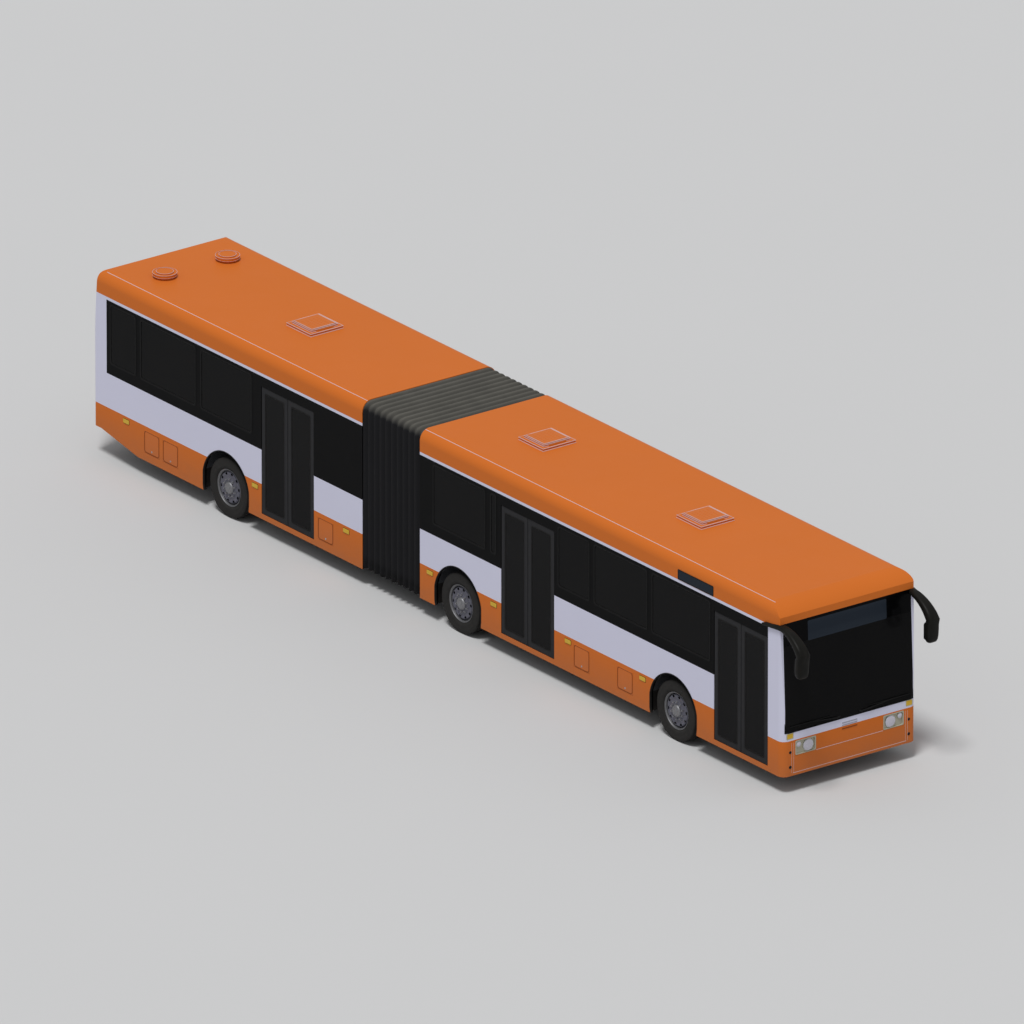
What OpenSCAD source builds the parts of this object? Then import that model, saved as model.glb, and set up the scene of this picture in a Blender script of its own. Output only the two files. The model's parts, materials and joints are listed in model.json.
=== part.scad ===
// Articulated city bus: a two-axle front section and a one-axle rear section,
// hinged on a turntable inside a pleated bellows.  Millimetres.
// +X is forward, +Y is the left side and +Z is up; Z = 0 is the road.

/* [Body shell] */
// Width over the side walls
body_w = 2550; // [2300:10:3100]
// Height of the roof above the road
roof_z = 3040; // [2500:10:3700]
// Height of the skirt's lower edge above the road
skirt_z = 283; // [240:1:300]
// Thickness of walls, roof and end panels
wall_t = 60; // [45:1:80]
// Radius of the roof's long edges
roof_r = 180; // [120:10:240]
// Radius of the front corners seen from above
corner_r = 120; // [80:5:180]
// Radius of the rear corners seen from above
rear_corner_r = 70; // [65:5:120]
// Depth of the cant panel, from the roof's top to the side walls' top
cant_h = 356; // [300:1:420]
// Belt line, where the painted wall meets the black glazing band
belt_z = 1423; // [1300:1:1450]
// Top of the coloured skirt, where the white band starts
band_z = 858; // [800:1:900]
// Height of the passenger floor above the road
floor_z = 350; // [340:1:380]

/* [Right side, from the front corner back] */
// Front corner to the first door
corner_w = 366; // [330:1:480]
// Width of a double door opening
door_w = 1349; // [1150:1:1650]
// Pillar between a door and the window beside it
jamb_w = 102; // [90:1:160]
// Pillar between two windows
pillar_w = 133; // [100:1:180]
// Wide pillar between two windows
wide_pillar_w = 147; // [100:1:200]
// Window behind the first door
win_a_w = 1450; // [1200:1:1800]
// Window ahead of the middle one
win_b_w = 1324; // [1100:1:1600]
// Window ahead of the second door
win_c_w = 776; // [600:1:1000]
// Slit window behind the second door
slit_w = 127; // [100:1:200]
// Last window of the front section
win_d_w = 1311; // [1250:1:1600]
// Wall behind the last window of the front section
front_tail_w = 343; // [300:1:450]
// Length of the bellows between the two sections
joint_gap = 1471; // [1400:1:1800]
// Blank wall from the bellows to the third door
lead_w = 1239; // [1000:1:1500]
// Pillar behind the third door
rear_jamb_w = 254; // [150:1:350]
// First window of the rear section
win_e_w = 1298; // [1250:1:1600]
// Second window of the rear section
win_f_w = 1413; // [1150:1:1700]
// Last window of the rear section
win_g_w = 649; // [500:1:800]
// Wall behind the last window
rear_tail_w = 442; // [400:1:560]

/* [Windows and doors] */
// Height of the window sill above the belt line
win_sill = 187; // [120:1:220]
// Wall left above the windows
win_head = 104; // [80:1:160]
// Thickness of the glass
glass_t = 8; // [6:1:12]
// Height of the door opening's sill above the floor
door_sill = 17; // [15:1:30]
// Wall left above a door opening
door_head = 217; // [180:1:260]
// Thickness of a door leaf
leaf_t = 40; // [34:1:44]
// Width of the frame round a door leaf's glass
leaf_frame = 92; // [70:1:110]
// Gap round a door leaf and between the two leaves
leaf_gap = 6; // [5:1:10]
// Radius of a door leaf's pivot post
post_r = 14; // [10:1:18]

/* [Wheels] */
// Rolling radius of a tyre
tyre_r = 485; // [400:1:520]
// Width of a tyre
tyre_w = 275; // [230:1:290]
// Radius of the rim's bead seat
rim_r = 286; // [250:1:300]
// Radius of the hub cap
hub_r = 105; // [90:1:120]
// Radius of an axle spindle
spindle_r = 45; // [38:1:55]
// Gap between a pair of twin tyres
twin_gap = 34; // [25:1:50]
// Depth of a wheel's outer face inside the body's side
wheel_inset = 40; // [20:1:70]
// Space between a tyre and its arch
arch_gap = 112; // [105:1:130]
// First door to the front axle
axle_1_back = 1020; // [950:1:1200]
// Second door to the middle axle
axle_2_back = 1096; // [950:1:1200]
// Third door to the rear axle
axle_3_back = 916; // [880:1:1200]

/* [Fittings] */
// How far the mirrors reach ahead of the front face
mirror_reach = 500; // [400:10:600]
// Width of a service flap
flap_w = 395; // [330:1:420]
// Height of a service flap
flap_h = 370; // [300:1:400]
// Side of a roof hatch's frame
hatch_w = 620; // [560:1:700]
// Number of folds in each half of the bellows
folds = 5; // [4:1:7]

/* [Hidden] */
$fn = 48;

// Colours
orange = [0.80, 0.42, 0.16];
black = [0.05, 0.05, 0.06];
grey = [0.30, 0.30, 0.32];
steel = [0.45, 0.46, 0.50];

// Running clearances
seat_gap = 0.3;     // between a lid or leaf and what it rests on
bearing_gap = 0.05; // radial, between a spindle and its bore
move_gap = 5;       // between a moving piece and its neighbours

// Stations behind the front face, from the bays of the right side
door_1 = corner_w;
win_a = door_1 + door_w + jamb_w;
win_b = win_a + win_a_w + pillar_w;
win_c = win_b + win_b_w + pillar_w;
door_2 = win_c + win_c_w + jamb_w;
slit = door_2 + door_w + pillar_w;
win_d = slit + slit_w + wide_pillar_w;
front_l = win_d + win_d_w + front_tail_w;
pivot = front_l + joint_gap / 2;
rear_start = front_l + joint_gap;
door_3 = rear_start + lead_w;
win_e = door_3 + door_w + rear_jamb_w;
win_f = win_e + win_e_w + wide_pillar_w;
win_g = win_f + win_f_w + pillar_w;
body_l = win_g + win_g_w + rear_tail_w;
axle_1 = door_1 + door_w + axle_1_back;
axle_2 = door_2 + door_w + axle_2_back;
axle_3 = door_3 + door_w + axle_3_back;

// The origin is below the middle of the whole bus, mirrors included
front_x = (body_l - mirror_reach) / 2;
function at(d) = front_x - d;

// Heights
side_y = body_w / 2;
inner_y = side_y - wall_t;
cant_z = roof_z - cant_h;
win_z0 = belt_z + win_sill;
win_z1 = cant_z - win_head;
door_z0 = floor_z + door_sill;
door_z1 = cant_z - door_head;
floor_t = 60;
under_z = floor_z - floor_t;
rail_h = 88;
rail_z = under_z - rail_h;
rail_y = 430;
rail_w = 80;
mask_depth = 300;      // front corner panels
end_depth = 200;       // rear corner panels

// Front face: upright to the screen's foot, then leaning back to the header
screen_z0 = band_z + 132;
header_z = roof_z - 290;
brow_z = roof_z - 180;
screen_lean = 76;
brow_r = 500;
brow_rise = 6;
brow_run = sqrt(pow(brow_r, 2) - pow(brow_r - roof_z - brow_rise + brow_z, 2));

// Rear face: upright to the window's foot, then leaning forward
rear_lean_z = belt_z + 150;
rear_lean = 100;
tail_r = 90;
ramp_start = 1140;     // the skirt rises over this length to the rear corner
ramp_h = 217;

// Wheel arches and housings
arch_r = tyre_r + arch_gap;
arch_half = arch_r - 12;
housing_half = arch_r + 30;
housing_t = 20;
housing_top = tyre_r + arch_r + 20;
wheel_y = side_y - wheel_inset;         // outer face of every wheel
twin_in_y = wheel_y - 2 * tyre_w - twin_gap;
housing_y = twin_in_y - 111;

// Steering
king_y = wheel_y - tyre_w - 60;
king_r = 24;

// ---------- helpers ----------

// A box given by its low and high corners
module block(a, b) {
  translate(a) cube([b[0] - a[0], b[1] - a[1], b[2] - a[2]]);
}

// Copies on the left and right
module both_sides() {
  children();
  mirror([0, 1, 0]) children();
}

// A side outline, drawn with X to the right and Z up, given thickness along Y
module side_extrude(y0, y1) {
  translate([0, y1, 0]) rotate([90, 0, 0]) linear_extrude(y1 - y0) children();
}

// Plan outline from x0 to x1 with round corners of radius r at the x1 end
module plan_outline(x0, x1, half, corner) {
  r = max(corner, 2);
  translate([x0, -half]) square([x1 - x0 - r, 2 * half]);
  translate([x0, r - half]) square([x1 - x0, 2 * (half - r)]);
  for (s = [-1, 1]) translate([x1 - r, s * (half - r)]) intersection() {
    circle(r);
    translate([0, -r]) square([r, 2 * r]);
  }
}

// Cross-section from z0 up to the roof, with round top edges, inset by t
module cross_outline(z0, t) {
  half = side_y - t;
  r = roof_r - t;
  top = roof_z - t;
  translate([-half, z0]) square([2 * half, top - r - z0]);
  translate([r - half, z0]) square([2 * (half - r), top - z0]);
  for (s = [-1, 1]) translate([s * (half - r), top - r]) intersection() {
    circle(r);
    translate([-r, 0]) square([2 * r, r]);
  }
}

// A cross-section, drawn with Y to the right and Z up, given length along X
module cross_extrude(x0, x1) {
  translate([x0, 0, 0]) rotate([90, 0, 90]) linear_extrude(x1 - x0) children();
}

// Outline of the front from the side: upright, leaning screen, round brow.
// It rises a little above the roof, so that it crosses the cross-section's top.
module nose_outline(x0, t) {
  x1 = front_x - t;
  face = x1 - screen_lean;
  top = roof_z + brow_rise - t;
  polygon([[x0, 0], [x1, 0], [x1, screen_z0], [face, header_z], [face, brow_z],
           [face - brow_run, brow_z], [face - brow_run, top], [x0, top]]);
  intersection() {
    translate([face - brow_run, top - brow_r]) circle(brow_r, $fn = 120);
    translate([face - brow_run, brow_z]) square([brow_run, top - brow_z]);
  }
}

// Outline of the tail from the side, mirrored so that it ends at +X
module tail_outline(x0, t) {
  x1 = body_l - front_x - t;
  top = roof_z + brow_rise - t;
  edge = x1 - rear_lean - tail_r;
  polygon([[x0, 0], [x1, 0], [x1, rear_lean_z], [x1 - rear_lean, top - tail_r],
           [edge, top - tail_r], [edge, top], [x0, top]]);
  translate([edge, top - tail_r]) intersection() {
    circle(tail_r);
    square(tail_r);
  }
}

// Solid space inside the front section's skin above z0, inset by t
module front_space(x0, z0, t) {
  intersection() {
    side_extrude(-side_y, side_y) nose_outline(x0 - 10, t);
    cross_extrude(x0, front_x + 10) cross_outline(z0, t);
    translate([0, 0, z0 - 10]) linear_extrude(roof_z - z0 + 20)
      plan_outline(x0 - 10, front_x - t, side_y - t, corner_r - t);
  }
}

// Front corner space below the roof's round edges, from z0 to z1, inset by t
module nose_block(x0, z0, z1, t) {
  x1 = front_x - t;
  intersection() {
    side_extrude(-side_y, side_y)
      polygon([[x0 - 10, 0], [x1, 0], [x1, screen_z0], [x1 - screen_lean, header_z],
               [x1 - screen_lean, brow_z], [x0 - 10, brow_z]]);
    translate([0, 0, z0]) linear_extrude(z1 - z0)
      plan_outline(x0, x1, side_y - t, corner_r - t);
  }
}

// Rear corner space below the roof's round edges, from z0 to z1, inset by t
module tail_block(x0, z0, z1, t) {
  x1 = body_l - front_x - t;
  mirror([1, 0, 0]) intersection() {
    side_extrude(-side_y, side_y)
      polygon([[x0 - 10, 0], [x1, 0], [x1, rear_lean_z], [x1 - rear_lean, roof_z - tail_r],
               [x0 - 10, roof_z - tail_r]]);
    translate([0, 0, z0]) linear_extrude(z1 - z0)
      plan_outline(x0, x1, side_y - t, rear_corner_r - t);
  }
}

// Solid space inside the rear section's skin above z0, inset by t
module rear_space(x0, z0, t) {
  mirror([1, 0, 0]) intersection() {
    side_extrude(-side_y, side_y) tail_outline(x0 - 10, t);
    cross_extrude(x0, body_l - front_x + 10) cross_outline(z0, t);
    translate([0, 0, z0 - 10]) linear_extrude(roof_z - z0 + 20)
      plan_outline(x0 - 10, body_l - front_x - t, side_y - t, rear_corner_r - t);
  }
}

// ---------- side walls ----------

// Openings in the right wall (s = -1) or left wall (s = 1): windows
module window_holes(list, s) {
  for (w = list)
    block([at(w[0] + w[1]), min(s * inner_y, s * side_y) - 1, win_z0],
          [at(w[0]), max(s * inner_y, s * side_y) + 1, win_z1]);
}

module window_panes(list, s) {
  y = s * (side_y - 3);
  for (w = list)
    block([at(w[0] + w[1]), min(y, y - s * glass_t), win_z0],
          [at(w[0]), max(y, y - s * glass_t), win_z1]);
}

module door_hole(d) {
  block([at(d + door_w), -side_y - 1, door_z0], [at(d), -inner_y + 1, door_z1]);
}

// Wheel arch cut through both walls, round above the wheel's centre
module arch_hole(d) {
  translate([at(d), side_y + 1, tyre_r]) rotate([90, 0, 0])
    intersection() {
      cylinder(h = body_w + 2, r = arch_r);
      translate([-arch_half, 0, 0]) cube([2 * arch_half, arch_r, body_w + 2]);
    }
  block([at(d) - arch_half, -side_y - 1, 0], [at(d) + arch_half, side_y + 1, tyre_r]);
}

flap_t = 20;
flap_lip = 15;
flap_z0 = skirt_z + 135;
flap_z1 = flap_z0 + flap_h;
// Stations of the five service flaps
flap_at = [axle_1 + 1016, axle_1 + 2110, door_3 - 496, axle_3 + 1234, axle_3 + 1718];

// Recess for a flap, with a smaller opening through the wall behind it
module flap_hole(d) {
  block([at(d + flap_w), -side_y - 1, flap_z0], [at(d), flap_t - side_y, flap_z1]);
  block([at(d + flap_w - flap_lip), -side_y - 1, flap_z0 + flap_lip],
        [at(d + flap_lip), 1 - inner_y, flap_z1 - flap_lip]);
}

right_front_wins = [[win_a, win_a_w], [win_b, win_b_w], [win_c, win_c_w],
                    [slit, slit_w], [win_d, win_d_w]];
driver_win = corner_w + 84;
left_front_wins = [[driver_win, door_w - 84], [win_a, win_a_w], [win_b, win_b_w],
                   [win_c, win_c_w], [door_2, door_w], [slit, slit_w], [win_d, win_d_w]];
right_rear_wins = [[win_e, win_e_w], [win_f, win_f_w], [win_g, win_g_w]];
left_rear_wins = [[rear_start + 150, lead_w - 150 - pillar_w], [door_3, door_w],
                  [win_e, win_e_w], [win_f, win_f_w], [win_g, win_g_w]];

module front_wall_blank(s) {
  block([at(front_l), min(s * inner_y, s * side_y), skirt_z],
        [at(mask_depth), max(s * inner_y, s * side_y), cant_z]);
}

module front_wall_right() {
  color(orange) difference() {
    front_wall_blank(-1);
    window_holes(right_front_wins, -1);
    door_hole(door_1);
    door_hole(door_2);
    arch_hole(axle_1);
    arch_hole(axle_2);
    flap_hole(flap_at[0]);
    flap_hole(flap_at[1]);
  }
}

module front_wall_left() {
  color(orange) difference() {
    front_wall_blank(1);
    window_holes(left_front_wins, 1);
    arch_hole(axle_1);
    arch_hole(axle_2);
  }
}

// Wall of the rear section; its lower edge rises towards the rear corner
module rear_wall_blank(s) {
  x0 = at(body_l - end_depth);
  ramp_x = at(body_l - ramp_start);
  y0 = min(s * inner_y, s * side_y);
  side_extrude(y0, y0 + wall_t)
    polygon([[x0, skirt_z + ramp_h * (1 - end_depth / ramp_start)], [ramp_x, skirt_z],
             [at(rear_start), skirt_z], [at(rear_start), cant_z], [x0, cant_z]]);
}

module rear_wall_right() {
  color(orange) difference() {
    rear_wall_blank(-1);
    window_holes(right_rear_wins, -1);
    door_hole(door_3);
    arch_hole(axle_3);
    for (i = [2:4]) flap_hole(flap_at[i]);
  }
}

module rear_wall_left() {
  color(orange) difference() {
    rear_wall_blank(1);
    window_holes(left_rear_wins, 1);
    arch_hole(axle_3);
  }
}

module front_windows() {
  color(black) {
    window_panes(right_front_wins, -1);
    window_panes(left_front_wins, 1);
  }
}

// ---------- roofs ----------

hatch_h = 42;
lid_w = hatch_w - 120;
lid_h = 40;
lid_tier = 28;
lid_step = 20;
barrel_r = 10;
barrel_l = 320;
hatch_hole = lid_w - 60;
// Stations of the three roof hatches, middle of each
hatch_at = [axle_1 + 885, axle_2 - 570, axle_3 - 580];

module hatch_frame(d) {
  translate([at(d) - hatch_w / 2, -hatch_w / 2, roof_z - 10]) cube([hatch_w, hatch_w, hatch_h + 10]);
}

module hatch_opening(d) {
  translate([at(d) - hatch_hole / 2, -hatch_hole / 2, roof_z - wall_t - 1])
    cube([hatch_hole, hatch_hole, wall_t + hatch_h + 2]);
}

// Lid in two tiers, with a hinge barrel along its front edge
module hatch_lid(d) {
  z = roof_z + hatch_h + seat_gap;
  color(orange) translate([at(d), 0, z]) {
    translate([-lid_w / 2, -lid_w / 2, 0]) cube([lid_w, lid_w, lid_tier]);
    translate([lid_step - lid_w / 2, lid_step - lid_w / 2, 0])
      cube([lid_w - 2 * lid_step, lid_w - 2 * lid_step, lid_h]);
    translate([lid_w / 2 + barrel_r, barrel_l / 2, barrel_r]) rotate([90, 0, 0])
      cylinder(h = barrel_l, r = barrel_r);
    translate([lid_w / 2 - 1, -barrel_l / 2, 0]) cube([barrel_r + 1, barrel_l, barrel_r]);
  }
}

module front_roof() {
  color(orange) difference() {
    union() {
      front_space(at(front_l), cant_z, 0);
      hatch_frame(hatch_at[0]);
      hatch_frame(hatch_at[1]);
    }
    front_space(at(front_l) - 1, cant_z - 1, wall_t);
    screen_hole();
    hatch_opening(hatch_at[0]);
    hatch_opening(hatch_at[1]);
  }
}

vent_r = 190;
vent_h = 95;
vent_y = 600;
vent_back = 940;

module roof_vent(s) {
  translate([at(body_l - vent_back), s * vent_y, roof_z - 10]) {
    cylinder(h = vent_h - 15, r = vent_r - 25);
    translate([0, 0, 45]) cylinder(h = vent_h - 50, r = vent_r);
    cylinder(h = vent_h + 10, r = vent_r - 55);
  }
}

module rear_roof() {
  color(orange) difference() {
    union() {
      rear_space(-at(rear_start), cant_z, 0);
      hatch_frame(hatch_at[2]);
      roof_vent(-1);
      roof_vent(1);
    }
    rear_space(-at(rear_start) - 1, cant_z - 1, wall_t);
    hatch_opening(hatch_at[2]);
  }
}

// ---------- front ----------

bumper_z = band_z - 258;
screen_back = corner_r + 40;   // the opening reaches this far back at the round corners
screen_half = side_y - wall_t;

// Space that the windscreen fills, through the front face between the pillars
module screen_hole() {
  block([at(screen_back), -screen_half, screen_z0], [front_x + 1, screen_half, header_z]);
}

module front_mask() {
  color(orange) difference() {
    nose_block(at(mask_depth), bumper_z, cant_z, 0);
    nose_block(at(mask_depth) - 1, bumper_z - 1, cant_z + 1, wall_t);
    screen_hole();
    front_lamp_pair(-1, -1, wall_t + 1);
  }
}

module windscreen() {
  color(black) intersection() {
    screen_hole();
    difference() {
      nose_block(at(screen_back), screen_z0, header_z, 4);
      nose_block(at(screen_back) - 1, screen_z0 - 1, header_z + 1, 4 + glass_t);
    }
  }
}

module front_bumper() {
  color(orange) difference() {
    translate([0, 0, skirt_z]) linear_extrude(bumper_z - skirt_z)
      plan_outline(at(mask_depth), front_x, side_y, corner_r);
    translate([0, 0, skirt_z - 1]) linear_extrude(bumper_z - skirt_z + 2)
      plan_outline(at(mask_depth) - 1, front_x - wall_t, side_y - wall_t, corner_r - wall_t);
    for (s = [-1, 1]) translate([at(wall_t + 1), s * tow_y, tow_z]) rotate([0, 90, 0])
      cylinder(h = wall_t + 2, r = tow_r);
  }
}

tow_y = side_y - corner_r - 30;   // towing eye sockets in the bumper
tow_z = skirt_z + 147;
tow_r = 20;

lamp_z0 = bumper_z + 2;
lamp_h = 228;
lamp_y = side_y - 440;         // middle of a headlamp
lamp_half = 185;
turn_y = side_y - 145;         // middle of a front indicator
turn_half = 60;
turn_z0 = band_z + 32;
turn_h = 90;

// Space of a lamp, from d0 to d1 behind the front face
module lamp_box(y, half, z0, h, d0, d1) {
  block([at(d1), y - half, z0], [at(d0), y + half, z0 + h]);
}

// Cuts for the headlamps and indicators, or the lamps themselves
module front_lamp_pair(lamp_d0, turn_d0, d1) {
  for (s = [-1, 1]) {
    lamp_box(s * lamp_y, lamp_half, lamp_z0, lamp_h, lamp_d0, d1);
    lamp_box(s * turn_y, turn_half, turn_z0, turn_h, turn_d0, d1);
  }
}

marker_w = 160;
marker_h = 80;
marker_t = 8;
marker_z = skirt_z + 453;
// Stations of the side markers of the front and rear sections
front_markers = [axle_1 + 690, axle_2 - 2875, door_2 + door_w + 105, axle_2 + 630];
rear_markers = [rear_start + 330, door_3 + door_w + 85, body_l - 925];

module side_marker(d) {
  both_sides()
    block([at(d + marker_w), side_y, marker_z], [at(d), side_y + marker_t, marker_z + marker_h]);
}

module front_lamps() {
  color([0.65, 0.62, 0.5]) {
    front_lamp_pair(4, 2, wall_t - 10);
    for (d = front_markers) side_marker(d);
  }
}

// Height of the roof's underside in the brow, at station d
function brow_under(d) = roof_z + brow_rise - wall_t - brow_r
  + sqrt(pow(brow_r, 2) - pow(brow_run + wall_t + screen_lean - d, 2));

display_half = side_y - 530;
display_z0 = header_z - 360;
display_z1 = header_z - 30;
display_d = 230;               // front display behind the front face
display_t = 100;
hanger_half = 60;              // the display hangs from the roof on this bracket
hanger_t = 30;
side_display_w = 890;
side_display_h = 164;

module displays() {
  color([0.16, 0.2, 0.24]) {
    // Front route display behind the windscreen
    block([at(display_d + display_t), -display_half, display_z0],
          [at(display_d), display_half, display_z1]);
    block([at(display_d + hanger_t), -hanger_half, display_z1],
          [at(display_d), hanger_half, brow_under(display_d) - seat_gap]);
    // Side route display on the cant panel over the first window
    block([at(win_a + side_display_w - 87), -side_y - 6, cant_z + 6],
          [at(win_a - 87), -side_y, cant_z + 6 + side_display_h]);
  }
}

// ---------- mirrors ----------

mirror_y = side_y - 45;
arm_r = 774;

module mirror_arm(s) {
  y0 = s * mirror_y - 50;
  // Arm: a band of a circle, from the side of the roof to the mirror's head
  side_extrude(y0, y0 + 100)
    intersection() {
      translate([front_x - 130, cant_z - 697]) difference() {
        circle(arm_r, $fn = 120);
        circle(arm_r - 110, $fn = 120);
      }
      translate([front_x - 30, cant_z - 300]) square([mirror_reach + 30, 500]);
    }
  // Root: from the arm back along the body's side
  block([at(500), s > 0 ? side_y : -side_y - 50, cant_z - 50],
        [at(20), s > 0 ? side_y + 50 : -side_y, cant_z + 50]);
  block([at(40), s > 0 ? mirror_y - 50 : -side_y - 50, cant_z - 50],
        [at(-20), s > 0 ? side_y + 50 : 50 - mirror_y, cant_z + 50]);
  // Head
  block([at(-mirror_reach + 190), s * mirror_y - 115, cant_z - 654],
        [at(-mirror_reach), s * mirror_y + 115, cant_z - 240]);
}

module mirrors() {
  color(black) {
    mirror_arm(-1);
    mirror_arm(1);
  }
}

// ---------- door leaves ----------

leaf_w = (door_w - 3 * leaf_gap) / 2;
leaf_y0 = 5 - side_y;              // outer face
leaf_y1 = leaf_y0 + leaf_t;        // inner face
post_y = leaf_y1 + post_r - 6;

// One leaf, its pivot post at the jamb x0 and its free edge in direction dir
module door_leaf(x0, dir) {
  a = x0 + dir * leaf_gap;
  b = a + dir * leaf_w;
  lo = min(a, b);
  hi = max(a, b);
  z0 = door_z0 + leaf_gap;
  z1 = door_z1 - leaf_gap;
  color(grey) difference() {
    union() {
      block([lo, leaf_y0, z0], [hi, leaf_y1, z1]);
      translate([x0 + dir * (leaf_gap + post_r), post_y, door_z0 + seat_gap])
        cylinder(h = door_z1 - door_z0 - 2 * seat_gap, r = post_r);
    }
    block([lo + leaf_frame, leaf_y0 - 1, z0 + leaf_frame],
          [hi - leaf_frame, leaf_y1 + 1, z1 - leaf_frame]);
  }
  color(black)
    block([lo + leaf_frame, leaf_y0 + 6, z0 + leaf_frame],
          [hi - leaf_frame, leaf_y0 + 6 + glass_t, z1 - leaf_frame]);
}

// ---------- flaps ----------

hinge_r = move_gap - seat_gap;  // hinge barrels along the flaps' and engine lid's top edges

module flap(d) {
  x0 = at(d + flap_w - move_gap);
  x1 = at(d + move_gap);
  color(orange) {
    block([x0, -side_y, flap_z0 + move_gap], [x1, flap_t - seat_gap - side_y, flap_z1 - move_gap]);
    translate([x0, -side_y, flap_z1 - move_gap]) rotate([0, 90, 0])
      cylinder(h = x1 - x0, r = hinge_r);
  }
}

// ---------- floors ----------

// A pair of wheel housings, standing on the floor
module housings(d) {
  both_sides()
    block([at(d) - housing_half - housing_t, housing_y - housing_t, under_z],
          [at(d) + housing_half + housing_t, inner_y, housing_top + housing_t]);
}

module housing_space(d) {
  both_sides()
    block([at(d) - housing_half, housing_y, 0], [at(d) + housing_half, side_y, housing_top]);
}

module rails(x0, x1) {
  both_sides()
    block([x0, rail_y - rail_w / 2, rail_z], [x1, rail_y + rail_w / 2, under_z]);
}

// Pads below the rails for a jack, clear of the axles
pad_half = 60;
pad_t = 12;
pad_back = 900;                // from an axle to its pads

module jack_pads(d) {
  both_sides()
    block([at(d) - pad_half, rail_y - rail_w / 2, rail_z - pad_t],
          [at(d) + pad_half, rail_y + rail_w / 2, rail_z]);
}

// Cross members below the floor, between two stations
module cross_members(d0, d1, count) {
  for (i = [0:count - 1]) {
    x = at(d0 + (d1 - d0) * i / (count - 1));
    block([x - 30, 100 - inner_y, under_z - 45], [x + 30, inner_y - 100, under_z]);
  }
}

turn_r = joint_gap / 2 - 25;
turn_base_r = 330;
pin_r = 60;
base_top = rail_z + 45;

module front_underframe() {
  color(grey) difference() {
    union() {
      block([at(front_l), -inner_y, under_z], [at(mask_depth), inner_y, floor_z]);
      housings(axle_1);
      housings(axle_2);
      rails(at(front_l), at(mask_depth + 200));
      jack_pads(axle_1 + pad_back);
      jack_pads(axle_2 - pad_back);
      cross_members(corner_w + 300, axle_1 - 720, 3);
      cross_members(axle_1 + 720, axle_2 - 720, 6);
      cross_members(axle_2 + 720, front_l - 60, 2);
      // Turntable: arm, bearing base and pin under the bellows
      block([at(pivot), -turn_base_r, rail_z], [at(front_l - 400), turn_base_r, base_top]);
      translate([at(pivot), 0, rail_z]) cylinder(h = base_top - rail_z, r = turn_base_r);
      translate([at(pivot), 0, rail_z]) cylinder(h = floor_z - 25 - rail_z, r = pin_r);
    }
    housing_space(axle_1);
    housing_space(axle_2);
  }
}

rear_step = axle_3 + housing_half + 80;  // where the rear floor steps up
high_floor_z = floor_z + 560;

module rear_underframe() {
  color(grey) difference() {
    union() {
      block([at(rear_step + floor_t), -inner_y, under_z], [at(rear_start), inner_y, floor_z]);
      block([at(rear_step + floor_t), -inner_y, under_z], [at(rear_step), inner_y, high_floor_z]);
      block([at(body_l - end_depth), -inner_y, high_floor_z - floor_t],
            [at(rear_step), inner_y, high_floor_z]);
      housings(axle_3);
      rails(at(body_l - ramp_start - 300), at(rear_start));
      jack_pads(axle_3 - pad_back);
      cross_members(rear_start + 60, axle_3 - 720, 4);
      // Turntable disc and its arm, level with the floor
      translate([at(pivot), 0, base_top + seat_gap])
        cylinder(h = floor_z - base_top - seat_gap, r = turn_r, $fn = 96);
      block([at(rear_start), -turn_base_r, base_top + seat_gap],
            [at(pivot + turn_r - 150), turn_base_r, floor_z]);
      // Bearers under the engine
      both_sides()
        block([at(body_l - end_depth), rail_y - rail_w / 2, rail_z + ramp_h + 40],
              [at(body_l - ramp_start - 260), rail_y + rail_w / 2, under_z + ramp_h + 40]);
      both_sides()
        block([at(body_l - ramp_start - 220), rail_y - rail_w / 2, rail_z],
              [at(body_l - ramp_start - 300), rail_y + rail_w / 2, under_z + ramp_h + 40]);
    }
    housing_space(axle_3);
    translate([at(pivot), 0, base_top - 1])
      cylinder(h = floor_z - 20 - base_top, r = pin_r + bearing_gap);
  }
}

module engine() {
  color(steel)
    block([at(body_l - end_depth - 60), -620, under_z + ramp_h + 40],
          [at(body_l - end_depth - 1060), 480, high_floor_z - floor_t - 60]);
}

// ---------- portals and bellows ----------

portal_t = 60;
portal_w = 70;
bellows_in = 20;        // bellows' fold tips inside the body's outline
fold_h = 60;
hoop_t = 50;
hoop_lip = 10;          // the hoop is deeper than the folds by this much inside
hoop_rise = 5;          // and by this much outside
bellows_z0 = skirt_z + bellows_in;

// Arch over the passage from z0 up, between w0 and w1 inside the body's outline
module arch(z0, w0, w1) {
  difference() {
    cross_outline(z0, w0);
    cross_outline(0, w1);
  }
}

module portal(x0) {
  color(grey) cross_extrude(x0, x0 + portal_t) arch(floor_z, wall_t, wall_t + portal_w);
}

// One half of the bellows, from x0 to x1: arches of two depths in turn
module bellows_half(x0, x1) {
  pitch = (x1 - x0) / (2 * folds);
  for (i = [0:folds - 1]) {
    a = x0 + 2 * i * pitch;
    cross_extrude(a, a + pitch)
      arch(bellows_z0, bellows_in + fold_h / 2, bellows_in + fold_h);
    cross_extrude(a + pitch, a + 2 * pitch)
      arch(bellows_z0, bellows_in, bellows_in + fold_h);
  }
}

module bellows() {
  color([0.13, 0.13, 0.14]) {
    bellows_half(at(pivot) + hoop_t / 2, at(front_l));
    bellows_half(at(rear_start), at(pivot) - hoop_t / 2);
  }
}

module bellows_hoop() {
  color(grey) cross_extrude(at(pivot) - hoop_t / 2, at(pivot) + hoop_t / 2)
    arch(bellows_z0, bellows_in - hoop_rise, bellows_in + fold_h + hoop_lip);
}

// ---------- rear end ----------

rear_win_half = side_y - 325;
end_z0 = skirt_z + ramp_h * (1 - end_depth / ramp_start);
lid_half = side_y - 425;
tail_y = side_y - 195;         // middle of a tail lamp
tail_half = 90;
tail_z0 = band_z + 60;
tail_h = 400;
tail_depth = 45;
lid_z0 = skirt_z + ramp_h + 130;
lid_z1 = belt_z - 70;

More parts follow.
